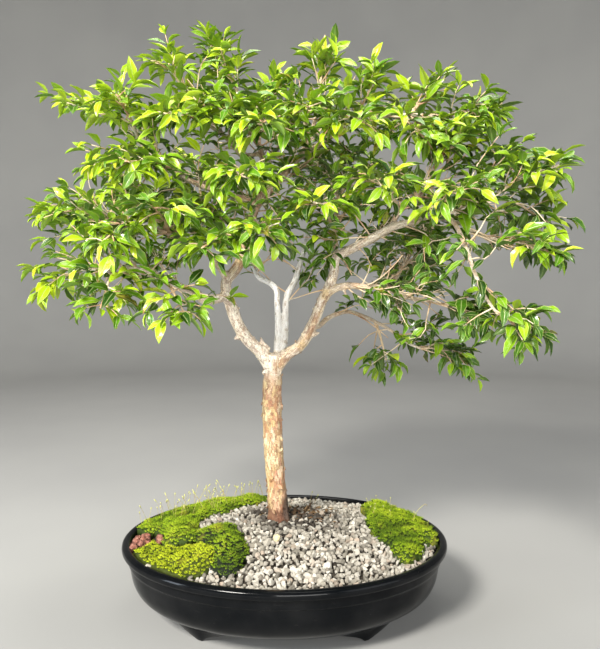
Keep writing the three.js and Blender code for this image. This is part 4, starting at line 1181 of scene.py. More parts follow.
# Points of bare twigs that the photograph shows one by one
HAND_TWIGS = [
    [(-144, -30, 460), (-138, -26, 474), (-133, -22, 495), (-133, -20, 506)],
    [(-111, -30, 454), (-126, -32, 451), (-139, -34, 437)],
    [(6, 20, 474), (17, 18, 486), (30, 14, 493), (37, 12, 502)],
    [(42, -22, 351), (29, -28, 348), (17, -32, 344), (6, -36, 341)],
    [(105, -22, 355), (108, -30, 366), (110, -34, 380)],
    [(127, -20, 355), (146, -30, 349), (166, -40, 339), (181, -46, 328)],
    [(178, -70, 407), (194, -76, 401), (207, -80, 394), (219, -84, 388)],
    [(-38, 8, 420), (-48, 0, 425), (-60, -8, 427)],
    [(-24, 28, 488), (-11, 20, 498), (-2, 14, 513), (1, 10, 527)],
    [(-31, 15, 443), (-18, 2, 449), (-4, -10, 451)],
    [(56, -14, 386), (63, -26, 380), (70, -34, 366)],
    [(-89, -40, 348), (-96, -50, 341), (-106, -58, 335)],
    [(76, -26, 395), (84, -36, 386), (89, -44, 375)],
    [(-37, 50, 376), (-12, 42, 386), (14, 40, 374)],
    [(14, 54, 371), (4, 48, 380), (-8, 44, 388), (-20, 40, 394)],
    [(58, 25, 323), (70, 16, 330), (84, 8, 334), (96, 4, 330)],
    [(72, 37, 325), (88, 30, 318), (104, 26, 306), (116, 24, 296)],
    [(84, -24, 354), (98, -34, 362), (112, -42, 376), (120, -46, 386)],
    [(107, -20, 353), (124, -32, 348), (142, -44, 346), (158, -52, 338)],
]

# Limbs without bare twigs of their own, how many the others have, and the samples of a twig's each stretch
LIMBS_WITHOUT_TWIGS = ("trunk", "left", "right", "right_low", "right_drop", "middle", "middle_left")
TWIGS_A_LIMB = 12
TWIG_SAMPLES = 8


def inside_box(points):
    """Places in millimetres, moved to at least 2 mm inside the CAD model's box."""
    return np.clip(points, CAD_LOW / MM + 2, CAD_HIGH / MM - 2)


def crown_top(x):
    """How high bare twigs reach: a dome over the crown's middle."""
    return 582 - 0.0018 * (x + 20) ** 2


def bare_twig(start, heading, length, rng):
    """A dead twig's route: four points that stray from the heading and lift a little."""
    share = np.array([0, 0.35, 0.7, 1])[:, None]
    stray = rng.normal(0, 0.1, (4, 3)) * share
    return start + (heading + stray + UP * 0.12 * share) * length * share


def make_bare_twigs(finish):
    """Fine leafless twigs in the crown: some listed one by one, the rest spread evenly along the limbs, each
    with two side shoots; one that would end in an open place or above the crown is left off."""
    rng = np.random.default_rng(131)
    routes = [np.array(route, float) for route in HAND_TWIGS]
    thick = [0.9] * len(routes)
    for name in LIMBS:
        if name in LIMBS_WITHOUT_TWIGS:
            continue
        for number in range(TWIGS_A_LIMB):
            share = mix(0.3, 0.9, (number + rng.random()) / TWIGS_A_LIMB)
            route = limb_route(name)
            heading = unit(route.heading(share) + rng.normal(0, 0.75, 3) * [1, 1, 0.7] + UP * 0.1)
            twig = bare_twig(route.at(share), heading, rng.uniform(20, 46), rng)
            sides = [bare_twig(twig[fork], unit(heading + rng.normal(0, 0.5, 3)), rng.uniform(9, 26), rng)
                     for fork in (1, 2)]
            tip = twig[-1]
            if in_open_air(tip[None])[0] or tip[2] > crown_top(tip[0]):
                continue
            radius = min(0.75, limb_radius(name, share) * 0.4)
            routes += [twig, *sides]
            thick += [radius, radius * 0.6, radius * 0.6]
    share = np.linspace(0, 1, 6)
    places = inside_box(np.stack([Route(route, TWIG_SAMPLES).at(share) for route in routes]))
    radii = np.array(thick)[:, None] * mix(1, 0.45, share)[None]
    make_piece("bare_twigs", [tubes(places, radii, 4)], [finish])


# The leaves

# A leaf: the shares of its length where it has a ring of corners; for each corner of a ring how far across
# it is and whether it is on the underside; the length, the width as a share of it, and the droop
LEAF_STATIONS = np.array([0.012, 0.1, 0.29, 0.53, 0.8])
LEAF_ACROSS = np.array([-1, -0.55, 0, 0.55, 1, 0])
LEAF_BELOW = np.array([0, 0, 0, 0, 0, 1])
LEAF_LENGTH = (23, 32)
LEAF_WIDTH = (0.33, 0.45)
LEAF_DROOP = (0.3, 1.35)


def leaf_blades(base, heading, upper, length, width, bend, finish=0, **numbers):
    """Closed leaf blades. The middle line leaves the base along the heading and bows over by the bend times
    the share of length to 1.3. Half the width is sin(pi u^0.82) to 0.9, less a quarter of u^4, where u runs
    from stalk to tip. The two halves fold up along the middle line, ripple a little and twist; the blade
    thins to its edges."""
    count = len(base)
    rings_a_leaf = len(LEAF_STATIONS)
    stalk = 0.095
    least_half = 0.42
    rng = np.random.default_rng(count)
    fold, twist, phase = [rng.uniform(*span, (count, 1, 1)) for span in ((0.15, 0.65), (-0.5, 0.5), (0, 6.3))]
    side = unit(np.cross(heading, upper))
    upper = np.cross(side, heading)
    stations = np.concatenate([[0], LEAF_STATIONS, [1]])
    middle = (stations[1:] + stations[:-1]) / 2
    slope = bend[:, None] * middle[None] ** 1.3
    step = np.cos(slope)[..., None] * heading[:, None] - np.sin(slope)[..., None] * upper[:, None]
    line = np.cumsum(step * np.diff(stations)[None, :, None], axis=1) * length[:, None, None]
    line = base[:, None] + np.concatenate([np.zeros((count, 1, 3)), line], axis=1)
    slope = bend[:, None, None] * (LEAF_STATIONS**1.3)[None, :, None]
    lift = np.sin(slope) * heading[:, None] + np.cos(slope) * upper[:, None]
    turn = twist * LEAF_STATIONS[None, :, None]
    across = side[:, None] * np.cos(turn) + lift * np.sin(turn)
    lift = lift * np.cos(turn) - side[:, None] * np.sin(turn)
    grown = np.clip((LEAF_STATIONS - stalk) / (1 - stalk), 0, 1)
    half = width[:, None] / 2 * (np.sin(np.pi * grown**0.82) ** 0.9 * (1 - 0.25 * grown**4))[None]
    half = np.maximum(half, least_half)[:, :, None]
    edge = np.abs(LEAF_ACROSS)
    ripple = 0.09 * np.sin(LEAF_STATIONS[None, :, None] * 17 + phase) * edge**2
    out = LEAF_ACROSS * half * np.cos(fold)
    rise = half * (edge * np.sin(fold) + ripple)
    thick = np.where(LEAF_STATIONS < 0.11, 0.75, 0.4)[None, :, None] * (1 - 0.9 * edge**2)
    rise = rise - thick * LEAF_BELOW
    rings = line[:, 1:-1, None] + across[:, :, None] * out[..., None] + lift[:, :, None] * rise[..., None]
    corners = np.concatenate([rings.reshape(count, -1, 3), line[:, :1], line[:, -1:]], axis=1)
    size = corners.shape[1]
    u = np.concatenate([np.repeat(LEAF_STATIONS, len(LEAF_ACROSS)), [0, 1]])
    v = np.concatenate([np.tile((LEAF_ACROSS + 1) / 2, rings_a_leaf), [0.5, 0.5]])
    uv = np.tile(np.stack([u, v], -1), (count, 1))
    below = np.concatenate([np.tile(LEAF_BELOW, rings_a_leaf), [0.5, 0.5]])
    rim = np.concatenate([np.tile(edge == 1, rings_a_leaf), [True, True]])
    faces = ringed_faces(count, rings_a_leaf, len(LEAF_ACROSS))
    numbers = {key: np.repeat(value, size) for key, value in numbers.items()}
    numbers["below"] = np.tile(below, count)
    return part(corners, faces, finish, uv=uv, rim=np.tile(rim, count), **numbers)


def across_of(heading):
    """Level and upright axes square to a heading."""
    side = unit(np.cross(UP, heading))
    return side, np.cross(heading, side)


def spray_route(limb, at, middle, reach):
    """From its limb by a raised neck through the spray's middle to a tip that hangs a little."""
    start = limb_route(limb).at(at)
    centre = np.array(middle, float)
    away = centre - start
    distance = np.linalg.norm(away)
    neck = start + away * max(0.35, 1 - 0.75 * reach / distance) + UP * 0.08 * distance
    tip = centre + away / distance * 0.3 * reach - UP * 0.05 * reach
    return Route([start, neck, centre, tip])


# Places that stay free of leaves, round the crown's edge and before its limbs: pixels of the frame and a
# reach in pixels
OPEN_PLACES = np.array([
    (503, 270, 22), (560, 278, 14), (545, 290, 9), (552, 357, 12), (482, 232, 10), (582, 158, 13),
    (520, 86, 13), (500, 74, 9), (446, 60, 9), (372, 43, 8), (335, 30, 8), (388, 152, 11),
    (374, 328, 21), (392, 344, 9), (262, 288, 20), (285, 304, 12), (234, 274, 13), (220, 293, 9),
    (22, 200, 14), (76, 122, 12), (58, 113, 8), (56, 84, 7), (146, 46, 12), (104, 74, 8),
    (66, 311, 9), (75, 329, 12), (98, 318, 8), (128, 337, 12), (162, 343, 13), (186, 331, 9),
    (196, 341, 10),
])


def in_open_air(points):
    """Whether the camera sees each point within an open place."""
    reach = np.linalg.norm(in_picture(points)[:, None] - OPEN_PLACES[:, :2], axis=-1)
    return (reach < OPEN_PLACES[:, 2]).any(axis=1)


class Foliage:
    """Gathers one spray's twigs and the bases of its leaves, each with the number of its twig."""

    def __init__(self, rng, upright, size):
        self.rng = rng
        self.upright = upright
        self.size = size
        self.twigs = []
        self.leaves = []

    def add_twig(self, route, leafy_from, tip_radius, root_radius):
        """Keeps a twig and sets opposite pairs of leaves along it, each pair rolled from the last, with a
        last pair and one young leaf at the tip."""
        self.twigs.append((route, root_radius, tip_radius))
        rng = self.rng
        pairs = max(1, round(route.length * (1 - leafy_from) / 10))
        for number, share in enumerate(np.linspace(leafy_from, 1, pairs + 1)):
            along = route.heading(share)
            side, lift = across_of(along)
            roll = np.radians(rng.uniform(12, 42)) * (1 if number % 2 else -1)
            last = number == pairs
            for turn in (1, -1):
                out = side * turn * np.cos(roll) + lift * np.sin(roll) * turn
                opening = rng.uniform(0.75, 1.1) if last else rng.uniform(1.1, 1.5)
                heading = along + out * opening + UP * rng.uniform(-0.1, 0.3)
                self.add_leaf(route.at(share), heading, out, share, 1 - 0.12 * last)
        young = route.heading(1.0) + rng.normal(0, 0.2, 3) + UP * 0.25
        self.add_leaf(route.at(1.0), young, across_of(route.heading(1.0))[0], 1.25, rng.uniform(0.45, 0.8))

    def add_leaf(self, base, heading, out, share, size):
        """A leaf's upper side looks up and inward over its twig; it droops by the bend."""
        rng = self.rng
        heading = unit(heading + rng.normal(0, 0.14, 3))
        face = unit(UP + rng.normal(0, 0.34, 3) - out * 0.2 - [0, 0.28, 0])
        length = rng.uniform(*LEAF_LENGTH) * size * self.size * rng.choice([1, 1, 1, 0.75])
        droop = rng.uniform(*LEAF_DROOP) * mix(1, 0.5, self.upright)
        width = length * rng.uniform(*LEAF_WIDTH)
        self.leaves.append((base, heading, face, length, width, droop, share, len(self.twigs) - 1))


def grow_spray(number, limb, at, middle, reach):
    """A spray: its stem, opposite side twigs that shorten towards its tip, and the leaves of them all. High
    sprays stand more upright."""
    rng = np.random.default_rng(1000 + number)
    upright = float(np.clip((middle[2] - 510) / 110, 0, 0.8))
    stem = spray_route(limb, at, middle, reach)
    foliage = Foliage(rng, upright, 1)
    first = max(0.12, 1 - 1.25 * reach / stem.length)
    foliage.add_twig(stem, mix(first, 1, 0.45), 0.7, 1.7 if at == 1 else 2.1)
    last_step = 4
    for step in range(last_step + 1):
        share = mix(first, 0.93, step / last_step)
        along = stem.heading(share)
        side, lift = across_of(along)
        roll = np.radians(rng.uniform(8, 38)) * (1 if step % 2 else -1)
        for turn in (1, -1):
            out = side * turn * np.cos(roll) + lift * turn * np.sin(roll)
            forward = along * 0.55 + out * rng.uniform(0.75, 1.1)
            heading = unit(forward + UP * (rng.uniform(-0.1, 0.3) + 0.45 * upright))
            length = reach * mix(0.92, 0.42, step / last_step) * rng.uniform(0.72, 1.12)
            start = stem.at(share)
            bow = UP * length * rng.uniform(-0.02, 0.12)
            end = start + heading * length - UP * length * rng.uniform(0, 0.2) * (1 - upright)
            twig = Route([start, start + heading * length * 0.5 + bow, end], TWIG_SAMPLES)
            foliage.add_twig(twig, 0.34, 0.45, 0.85)
    return foliage


def make_leafy(name, foliage, seed, youth, finishes, nodes=()):
    """A piece of twigs and leaves. A leaf that is in an open place or would leave the CAD model's box is left
    off, and so is a side twig that ends in an open place or keeps less than half of the leaves at its tip."""
    share = np.linspace(0, 1, 6)
    routes = inside_box(np.stack([route.at(share) for route, _, _ in foliage.twigs]))
    radii = np.stack([mix(root, tip, share) for _, root, tip in foliage.twigs])
    *blade, along, twig = [np.array(column) for column in zip(*foliage.leaves)]
    base = blade[0]
    count = len(base)
    rng = np.random.default_rng(seed)
    # Painted light: leaves high in the crown and far out to the left get a higher age, which the leaf finish
    # shows brighter and yellower; the share towards the tip and the noise are their own age
    high = np.clip((base[:, 2] - 380) / 220, 0, 1)
    outer = np.clip((-base[:, 0] - 40) / 220, 0, 1)
    near_tip = np.clip(along - 0.4, 0, 1)
    age = youth + 0.26 * high + 0.26 * outer + 0.22 * near_tip + rng.normal(0, 0.2, count)
    marked = rng.random(count) < 0.035
    blemish = np.where(marked, rng.uniform(0.5, 1, count), rng.uniform(0, 0.25, count))
    hue = rng.random(count)
    blades = leaf_blades(*blade, finish=1, age=np.clip(age, 0, 1), blemish=blemish, hue=hue)
    corners = blades["corners"].reshape(count, -1, 3) * MM
    boxed = ((corners > CAD_LOW) & (corners < CAD_HIGH)).all(axis=(1, 2))
    kept = boxed & ~in_open_air(corners.mean(axis=1) / MM)
    at_tip = along >= 1
    bare_tip = np.bincount(twig, kept & at_tip) < 0.5 * np.bincount(twig, at_tip)
    dropped = in_open_air(routes[:, -1]) | bare_tip
    dropped[0] = False
    twigs = tubes(routes[~dropped], radii[~dropped], 5)
    make_piece(name, [twigs, only(blades, kept & ~dropped[twig])], finishes, nodes)


def make_sprays(finishes):
    """One piece for each spray, in place of its node."""
    for number, (name, *row) in enumerate(SPRAYS):
        foliage = grow_spray(number, *row)
        make_leafy("leafy_" + name, foliage, 2000 + number, 0.16, finishes, ["spray_" + name])


# Leafy side shoots that fill the crown between its sprays: a seed for each group, and how many stand on
# each limb
SHOOT_SEEDS = {"left": 4, "middle": 6, "right": 5}
INNER_SHOOTS = {
    "left": {"left_low": 18, "left_spur": 24, "left_back": 20, "left_up": 22, "top_left": 16, "leader": 16},
    "middle": {"centre": 18, "middle": 6, "middle_left": 6, "right_stub": 18, "right_top": 18},
    "right": {"right_up": 22, "right_back": 22, "right_mid": 16, "right_low": 11, "right_drop": 12,
              "right_spiny": 6, "right_fork": 14},
}

# Leafy shoots that the photograph shows one by one: their points
HAND_SHOOTS = {
    "left": [
        [(-184, -28, 424), (-222, -12, 412), (-262, 6, 404)],
        [(-184, -28, 424), (-226, -20, 430), (-256, -8, 438)],
        [(-70, 8, 585), (-74, 6, 602), (-78, 4, 616)],
        [(-184, 8, 532), (-216, 4, 549), (-250, 2, 557)],
        [(-122, -20, 480), (-112, -34, 492), (-100, -46, 502)],
        [(-122, -20, 480), (-136, -36, 486), (-146, -50, 494)],
        [(-88, -16, 460), (-86, -36, 478), (-78, -52, 494)],
    ],
    "middle": [
        [(-22, 30, 560), (-14, 28, 576), (-10, 26, 590)],
        [(4, 22, 540), (10, 20, 560), (12, 18, 582)],
        [(70, 14, 526), (72, -10, 520), (76, -34, 508)],
        [(55, -8, 396), (38, -30, 404), (20, -44, 404)],
        [(-16, 22, 460), (4, -6, 446), (16, -26, 430)],
        [(2, 24, 480), (24, -8, 468), (36, -30, 452)],
        [(56, 8, 420), (46, -16, 424), (34, -40, 420)],
        [(55, -18, 388), (50, -38, 388), (40, -54, 382)],
        [(-22, 18, 452), (-14, -10, 438), (-4, -34, 424)],
        [(38, -22, 336), (26, -30, 342), (14, -38, 344)],
    ],
    "right": [
        [(142, 60, 288), (158, 54, 304), (176, 50, 318)],
        [(160, 58, 280), (196, 58, 268), (226, 56, 246)],
        [(150, -30, 339), (176, -36, 330), (196, -44, 312)],
        [(64, -25, 355), (74, -30, 346), (88, -34, 338)],
        [(84, -24, 354), (98, -30, 342), (112, -34, 330)],
        [(107, -20, 353), (116, -28, 338), (126, -34, 322)],
    ],
}


def make_inner_shoots(finishes):
    """Short shoots off the limbs, in any direction across them, with smaller and older leaves."""
    for group, counts in INNER_SHOOTS.items():
        rng = np.random.default_rng(3000 + SHOOT_SEEDS[group])
        foliage = Foliage(rng, 0.2, 0.82)
        for name, count in counts.items():
            route = limb_route(name)
            for share in rng.uniform(0.22, 0.98, count):
                heading = unit(route.heading(share) * 0.5 + rng.normal(0, 0.75, 3) * [1, 1, 0.7] + UP * 0.12)
                twig = bare_twig(route.at(share), heading, rng.uniform(34, 68), rng)
                root_radius = min(0.9, limb_radius(name, share) * 0.5)
                foliage.add_twig(Route(twig, TWIG_SAMPLES), 0.38, 0.35, root_radius)
        for points in HAND_SHOOTS[group]:
            foliage.add_twig(Route(points, TWIG_SAMPLES), 0.35, 0.35, 0.9)
        make_leafy("inner_shoots_" + group, foliage, 3100 + SHOOT_SEEDS[group], 0.0, finishes)


def make_bark_flakes(bark):
    """Curled flakes half peeled off the trunk and the thicker limbs: small leaf-shaped chips whose base is
    sunk in the bark and whose tip stands off it."""
    rng = np.random.default_rng(151)
    weights = {"trunk": 62, "left": 18, "leader": 14, "right": 24, "right_up": 12, "left_low": 8, "middle": 6}
    rows = []
    for name, count in weights.items():
        route = limb_route(name)
        for share in rng.uniform(0.22 if name == "trunk" else 0.08, 0.94, count):
            along = route.heading(share)
            side = unit(np.cross(along, rng.normal(size=3)))
            normal = np.cross(side, along)
            sense = rng.choice([-1, 1])
            radius = limb_radius(name, share)
            lengthwise = along * sense * rng.uniform(0.5, 1)
            heading = unit(lengthwise + side * rng.uniform(-0.8, 0.8) + normal * 0.16)
            rows.append((route.at(share) + normal * radius * 0.97, heading, normal, radius))
    base, heading, normal, radius = [np.array(column) for column in zip(*rows)]
    length = rng.uniform(3.2, 7.5, len(base)) * np.clip(radius / 9, 0.5, 1)
    width = length * rng.uniform(0.4, 0.7, len(base))
    flakes = leaf_blades(base, heading, normal, length, width, rng.uniform(-0.5, 0.35, len(base)))
    feet = np.repeat(base, len(flakes["corners"]) // len(base), axis=0)
    flakes["numbers"], flakes["drawn"], _ = bark_numbers(feet)
    make_piece("bark_flakes", [flakes], [bark])


# Finishes

# The colours of three plain finishes, by stops of a ramp
FLOOR_GREYS = [(0.3, (0.33, 0.33, 0.326)), (0.7, (0.36, 0.36, 0.352))]
SCREEN_GREYS = [(0.3, (0.012, 0.014, 0.012)), (0.7, (0.03, 0.034, 0.03))]
LITTER_BROWNS = [(0.3, (0.034, 0.019, 0.010)), (0.5, (0.11, 0.060, 0.028)), (0.7, (0.24, 0.16, 0.07))]


def satin_stoneware():
    """Dark unglazed stoneware with a satin skin: a blue-grey bloom, pale dust, and faint rubbed marks."""
    f = Finish("satin_black_stoneware")
    p = f.place()
    cloud = f.noise(p, 26, 4)
    dust = f.noise(f.stretched(p, (1, 1, 2.5)), 150, 5, 0.7).between(0.6, 0.8)
    grain = f.noise(p, 1400, 3)
    base = f.ramp(cloud, [(0.35, (0.0022, 0.0028, 0.0036)), (0.7, (0.0048, 0.0052, 0.0060))])
    colour = f.blend(dust * 0.10, base, (0.10, 0.09, 0.08))
    rough = cloud * 0.14 + dust * 0.15 + 0.11
    normal = f.bump(grain * 0.4 + cloud * 2 + dust * 0.3, 0.2, 0.0006)
    coat = cloud.between(0.3, 0.7) * 0.2 + 0.12
    return f.finished(Base_Color=colour, Roughness=rough, Normal=normal, Specular_IOR_Level=0.05,
                      Coat_Weight=coat, Coat_Roughness=0.07)


def pumice_stone():
    """Pale porous pumice: grey-beige stones that differ by tone, ochre past a tone of 1.5, with dark pores
    and a dark brown leaf-mould stain, whose colour is also painted shade on the gravel's bed and lower layer."""
    f = Finish("pumice_grit")
    p = f.place()
    tone, stain = f.attributes("tone", "stain")
    stone = f.ramp(tone, [(0.0, (0.15, 0.137, 0.113)), (0.22, (0.29, 0.265, 0.22)),
                          (0.5, (0.43, 0.40, 0.345)), (0.8, (0.60, 0.57, 0.505)),
                          (0.94, (0.42, 0.34, 0.27)), (1.0, (0.20, 0.18, 0.15))])
    stone = f.blend(tone.between(1.4, 1.6), stone, (0.72, 0.62, 0.36))
    mottled = f.noise(p, 520, 4, 0.65)
    stone = f.blend(mottled.between(0.42, 0.7) * 0.5, stone, (0.86, 0.83, 0.78), "MULTIPLY")
    pores = f.cells(p, 1500)
    dark = 1 - pores.between(0.1, 0.38)
    stone = f.blend(dark * 0.55, stone, (0.2, 0.17, 0.14))
    # The leaf-mould stain round the trunk, and painted shade on the gravel's bed and lower layer
    colour = f.blend(stain * 0.93, stone, (0.030, 0.022, 0.015))
    normal = f.bump(pores * 0.6 + mottled, 0.5, 0.0005)
    return f.finished(Base_Color=colour, Roughness=mottled * 0.2 + 0.78, Normal=normal)


def plain_finish(name, scale, detail, stops, unevenness, roughness):
    """A dull finish whose colour and roughness follow one noise."""
    f = Finish(name)
    noise = f.noise(f.place(), scale, detail)
    return f.finished(Base_Color=f.ramp(noise, stops), Roughness=noise * unevenness + roughness)


def moss(name, deep, middle, tip_colour):
    """Moss: dark at the feet of its blades and on the cushion between them, which is painted shade, and
    bright at their tips, their own paler young growth and a painted highlight; yellower and browner in
    patches; a painted highlight on its lumps and painted shade between them."""
    f = Finish(name)
    p = f.place()
    tip, hue, high = f.attributes("tip", "hue", "high")
    patch = f.noise(p, 42, 3)
    fine = f.noise(p, 700, 3)
    # Painted shade: the deep colour at the feet of the blades and on the cushion
    green = f.blend((tip * 1.5).between(0.1, 1.0), deep, middle)
    # Bright tips: the shoots' own paler young growth, and a painted highlight
    green = f.blend(tip.between(0.4, 1.0) * hue.between(-0.2, 0.8), green, tip_colour)
    green = f.blend(hue.between(0.9, 1.0) * 0.5, green, (0.40, 0.34, 0.05))
    green = f.blend(patch.between(0.55, 0.72) * 0.45, green, (0.36, 0.33, 0.03))
    # Painted highlight on the tops of the lumps
    green = f.blend(high.between(0.4, 2.6) * tip.between(0.2, 1.0) * 0.45, green, (0.86, 0.98, 0.05))
    # Painted shade in the hollows between the lumps
    green = f.blend((1 - high.between(-2.4, 0.2)) * 0.75, green, (0.26, 0.34, 0.30), "MULTIPLY")
    colour = f.blend(fine.between(0.35, 0.7) * 0.35, green, (0.5, 0.52, 0.4), "MULTIPLY")
    return f.finished(Base_Color=colour, Roughness=fine * 0.15 + 0.7, Normal=f.bump(fine, 0.5, 0.0007),
                      Specular_IOR_Level=0.3)


def stalk_fibre():
    """Thin yellow-green to brown stalks whose capsules are pale green."""
    f = Finish("spore_stalk")
    fine = f.noise(f.place(), 160, 2)
    tip, = f.attributes("tip")
    stem = f.ramp(fine, [(0.35, (0.36, 0.22, 0.07)), (0.55, (0.50, 0.46, 0.14)), (0.7, (0.34, 0.40, 0.08))])
    colour = f.blend(tip.between(0.3, 0.9), stem, (0.50, 0.50, 0.20))
    return f.finished(Base_Color=colour, Roughness=fine * 0.2 + 0.45)


def lava_rock():
    """Rust-brown lava with dark pits, whose stones differ."""
    f = Finish("red_lava")
    p = f.place()
    tone, = f.attributes("tone")
    rough = f.noise(p, 330, 4, 0.65)
    pores = f.cells(p, 900)
    base = f.ramp(rough, [(0.36, (0.10, 0.030, 0.020)), (0.5, (0.34, 0.115, 0.075)),
                          (0.68, (0.60, 0.32, 0.24))])
    base = f.blend(tone * 0.4, base, (0.20, 0.11, 0.085))
    colour = f.blend((1 - pores.between(0.14, 0.42)) * 0.8, base, (0.03, 0.014, 0.010))
    normal = f.bump(pores + rough, 0.7, 0.0008)
    return f.finished(Base_Color=colour, Roughness=rough * 0.2 + 0.75, Normal=normal)


def dark_soil():
    """Dark crumbs, a few of them paler."""
    f = Finish("crumbled_soil")
    p = f.place()
    tone, = f.attributes("tone")
    crumb = f.noise(p, 420, 5, 0.7)
    base = f.ramp(crumb, [(0.3, (0.014, 0.010, 0.007)), (0.55, (0.042, 0.029, 0.019)),
                          (0.75, (0.085, 0.060, 0.040))])
    colour = f.blend(tone.between(0.75, 1.0) * 0.6, base, (0.16, 0.11, 0.07))
    normal = f.bump(crumb, 0.7, 0.0012)
    return f.finished(Base_Color=colour, Roughness=crumb * 0.15 + 0.8, Normal=normal)


def peeling_bark():
    """Smooth bark that peels in patches drawn out along the limbs: rust, tan, pinkish and ochre layers with
    crisp edges, cream about the fork, lichen grey on the middle limbs, brown on the right one, fine lines
    along the grain, dark specks, and a damp brown foot; also painted sunlight in gold on the left of each
    limb, and a painted shadow in the notch beside the foot."""
    f = Finish("peeling_bark")
    p = f.place()
    drawn = f.node("ShaderNodeAttribute", {"attribute_name": "drawn"}, output="Vector")
    pale, umber, cream, slim, damp, rot, sunny = f.attributes(
        "pale", "umber", "cream", "slim", "damp", "rot", "sunny")
    layer = f.noise(drawn, 120, 5, 0.62)
    sheet = f.noise(drawn, 240, 4, 0.6)
    warp = f.noise(drawn, 330, 4, 0.6)
    shift = f.node("ShaderNodeTexNoise", inputs={"Vector": drawn, "Scale": 260, "Detail": 3}, output="Color")
    shift = f.node("ShaderNodeVectorMath", {"operation": "SCALE"}, {"Vector": shift, "Scale": 0.012})
    warped = f.node("ShaderNodeVectorMath", {"operation": "ADD"}, {0: drawn, 1: shift})
    plate = f.cells(warped, 170, output="Color")
    seam = 1 - f.cells(warped, 170, "DISTANCE_TO_EDGE").between(0.02, 0.09)
    base = f.ramp(layer, [(0.36, (0.30, 0.13, 0.070)), (0.44, (0.48, 0.24, 0.13)), (0.5, (0.62, 0.36, 0.22)),
                          (0.57, (0.72, 0.52, 0.33)), (0.66, (0.60, 0.42, 0.18))])
    plates = f.ramp(plate, [(0.3, (0.44, 0.25, 0.11)), (0.42, (0.60, 0.28, 0.17)), (0.5, (0.70, 0.46, 0.29)),
                            (0.6, (0.84, 0.69, 0.48)), (0.7, (0.66, 0.50, 0.24))])
    base = f.blend(0.72, base, plates)
    sheets = sheet.between(0.52, 0.545)
    base = f.blend(sheets * (cream * 0.4 + 0.3), base, (0.84, 0.70, 0.48))
    base = f.blend(cream * (0.42 + 0.4 * warp.between(0.40, 0.46)), base, (0.90, 0.84, 0.73))
    # Painted sunlight: gold on the left side of each limb, where the light falls
    painted_sunlight = sunny.between(0.0, 0.8) * layer.between(0.42, 0.58) * (1 - cream * 0.6)
    base = f.blend(painted_sunlight * 0.6, base, (0.80, 0.64, 0.30))
    rust = warp.between(0.55, 0.59) * (1 - cream * 0.6)
    base = f.blend(rust * 0.65, base, (0.46, 0.21, 0.12))
    ochre = f.noise(drawn, 90, 4, 0.6).between(0.44, 0.56) * umber * (1 - slim)
    base = f.blend(ochre * 0.7, base, (0.62, 0.43, 0.18))
    brown = f.noise(drawn, 150, 4, 0.6).between(0.51, 0.545) * umber * (1 - slim * 0.75)
    base = f.blend(brown * 0.7, base, (0.30, 0.17, 0.095))
    sides = abs(sunny).between(0.4, 0.6) * umber * (1 - slim)
    base = f.blend(sides * 0.65, base, (0.86, 0.77, 0.62))
    grey = f.ramp(sheet, [(0.36, (0.50, 0.44, 0.38)), (0.43, (0.88, 0.86, 0.82)), (0.52, (0.98, 0.97, 0.95))])
    base = f.blend(pale * 0.95, base, grey)
    thin = f.ramp(sheet, [(0.35, (0.46, 0.32, 0.21)), (0.48, (0.76, 0.64, 0.48)), (0.6, (0.92, 0.85, 0.72))])
    base = f.blend(slim * (1 - pale) * 0.8, base, thin)
    lines = f.noise(f.stretched(drawn, (1.6, 1.6, 0.4)), 620, 3, 0.6)
    base = f.blend(lines.between(0.54, 0.72) * 0.35, base, (0.52, 0.38, 0.26), "MULTIPLY")
    outline = 1 - abs(sheet - 0.53).between(0.0, 0.016)
    base = f.blend(outline * (1 - pale * 0.5) * 0.6, base, (0.26, 0.14, 0.08))
    base = f.blend(seam * (1 - pale * 0.7) * (1 - slim) * 0.7, base, (0.26, 0.14, 0.08))
    base = f.blend(damp * 0.8, base, (0.34, 0.19, 0.13), "MULTIPLY")
    wet = (damp + (layer - 0.5) * 1.4).between(0.5, 0.68)
    base = f.blend(wet * 0.75, base, (0.15, 0.062, 0.036))
    # Painted shadow: near black in the notch beside the trunk's foot
    base = f.blend(rot * 0.9, base, (0.05, 0.03, 0.02))
    specks = f.noise(p, 900, 3, 0.6).between(0.60, 0.68)
    colour = f.blend(specks * 0.35, base, (0.24, 0.14, 0.08))
    height = sheets * 0.7 - rust * 0.5 + lines * 0.6 + layer * 1.6 - specks * 0.3
    normal = f.bump(height, 0.85, 0.0009)
    return f.finished(Base_Color=colour, Roughness=layer * 0.25 + 0.42, Normal=normal)


def twig_bark():
    """Thin pale tan twigs with grey and red-brown stretches."""
    f = Finish("twig_bark")
    p = f.place()
    tone = f.noise(p, 38, 3)
    fine = f.noise(p, 900, 3)
    base = f.ramp(tone, [(0.3, (0.42, 0.22, 0.12)), (0.45, (0.68, 0.48, 0.29)), (0.6, (0.84, 0.70, 0.50)),
                         (0.72, (0.66, 0.60, 0.48))])
    colour = f.blend(fine.between(0.45, 0.75) * 0.4, base, (0.6, 0.5, 0.4), "MULTIPLY")
    return f.finished(Base_Color=colour, Roughness=fine * 0.2 + 0.55, Normal=f.bump(fine, 0.4, 0.0003))


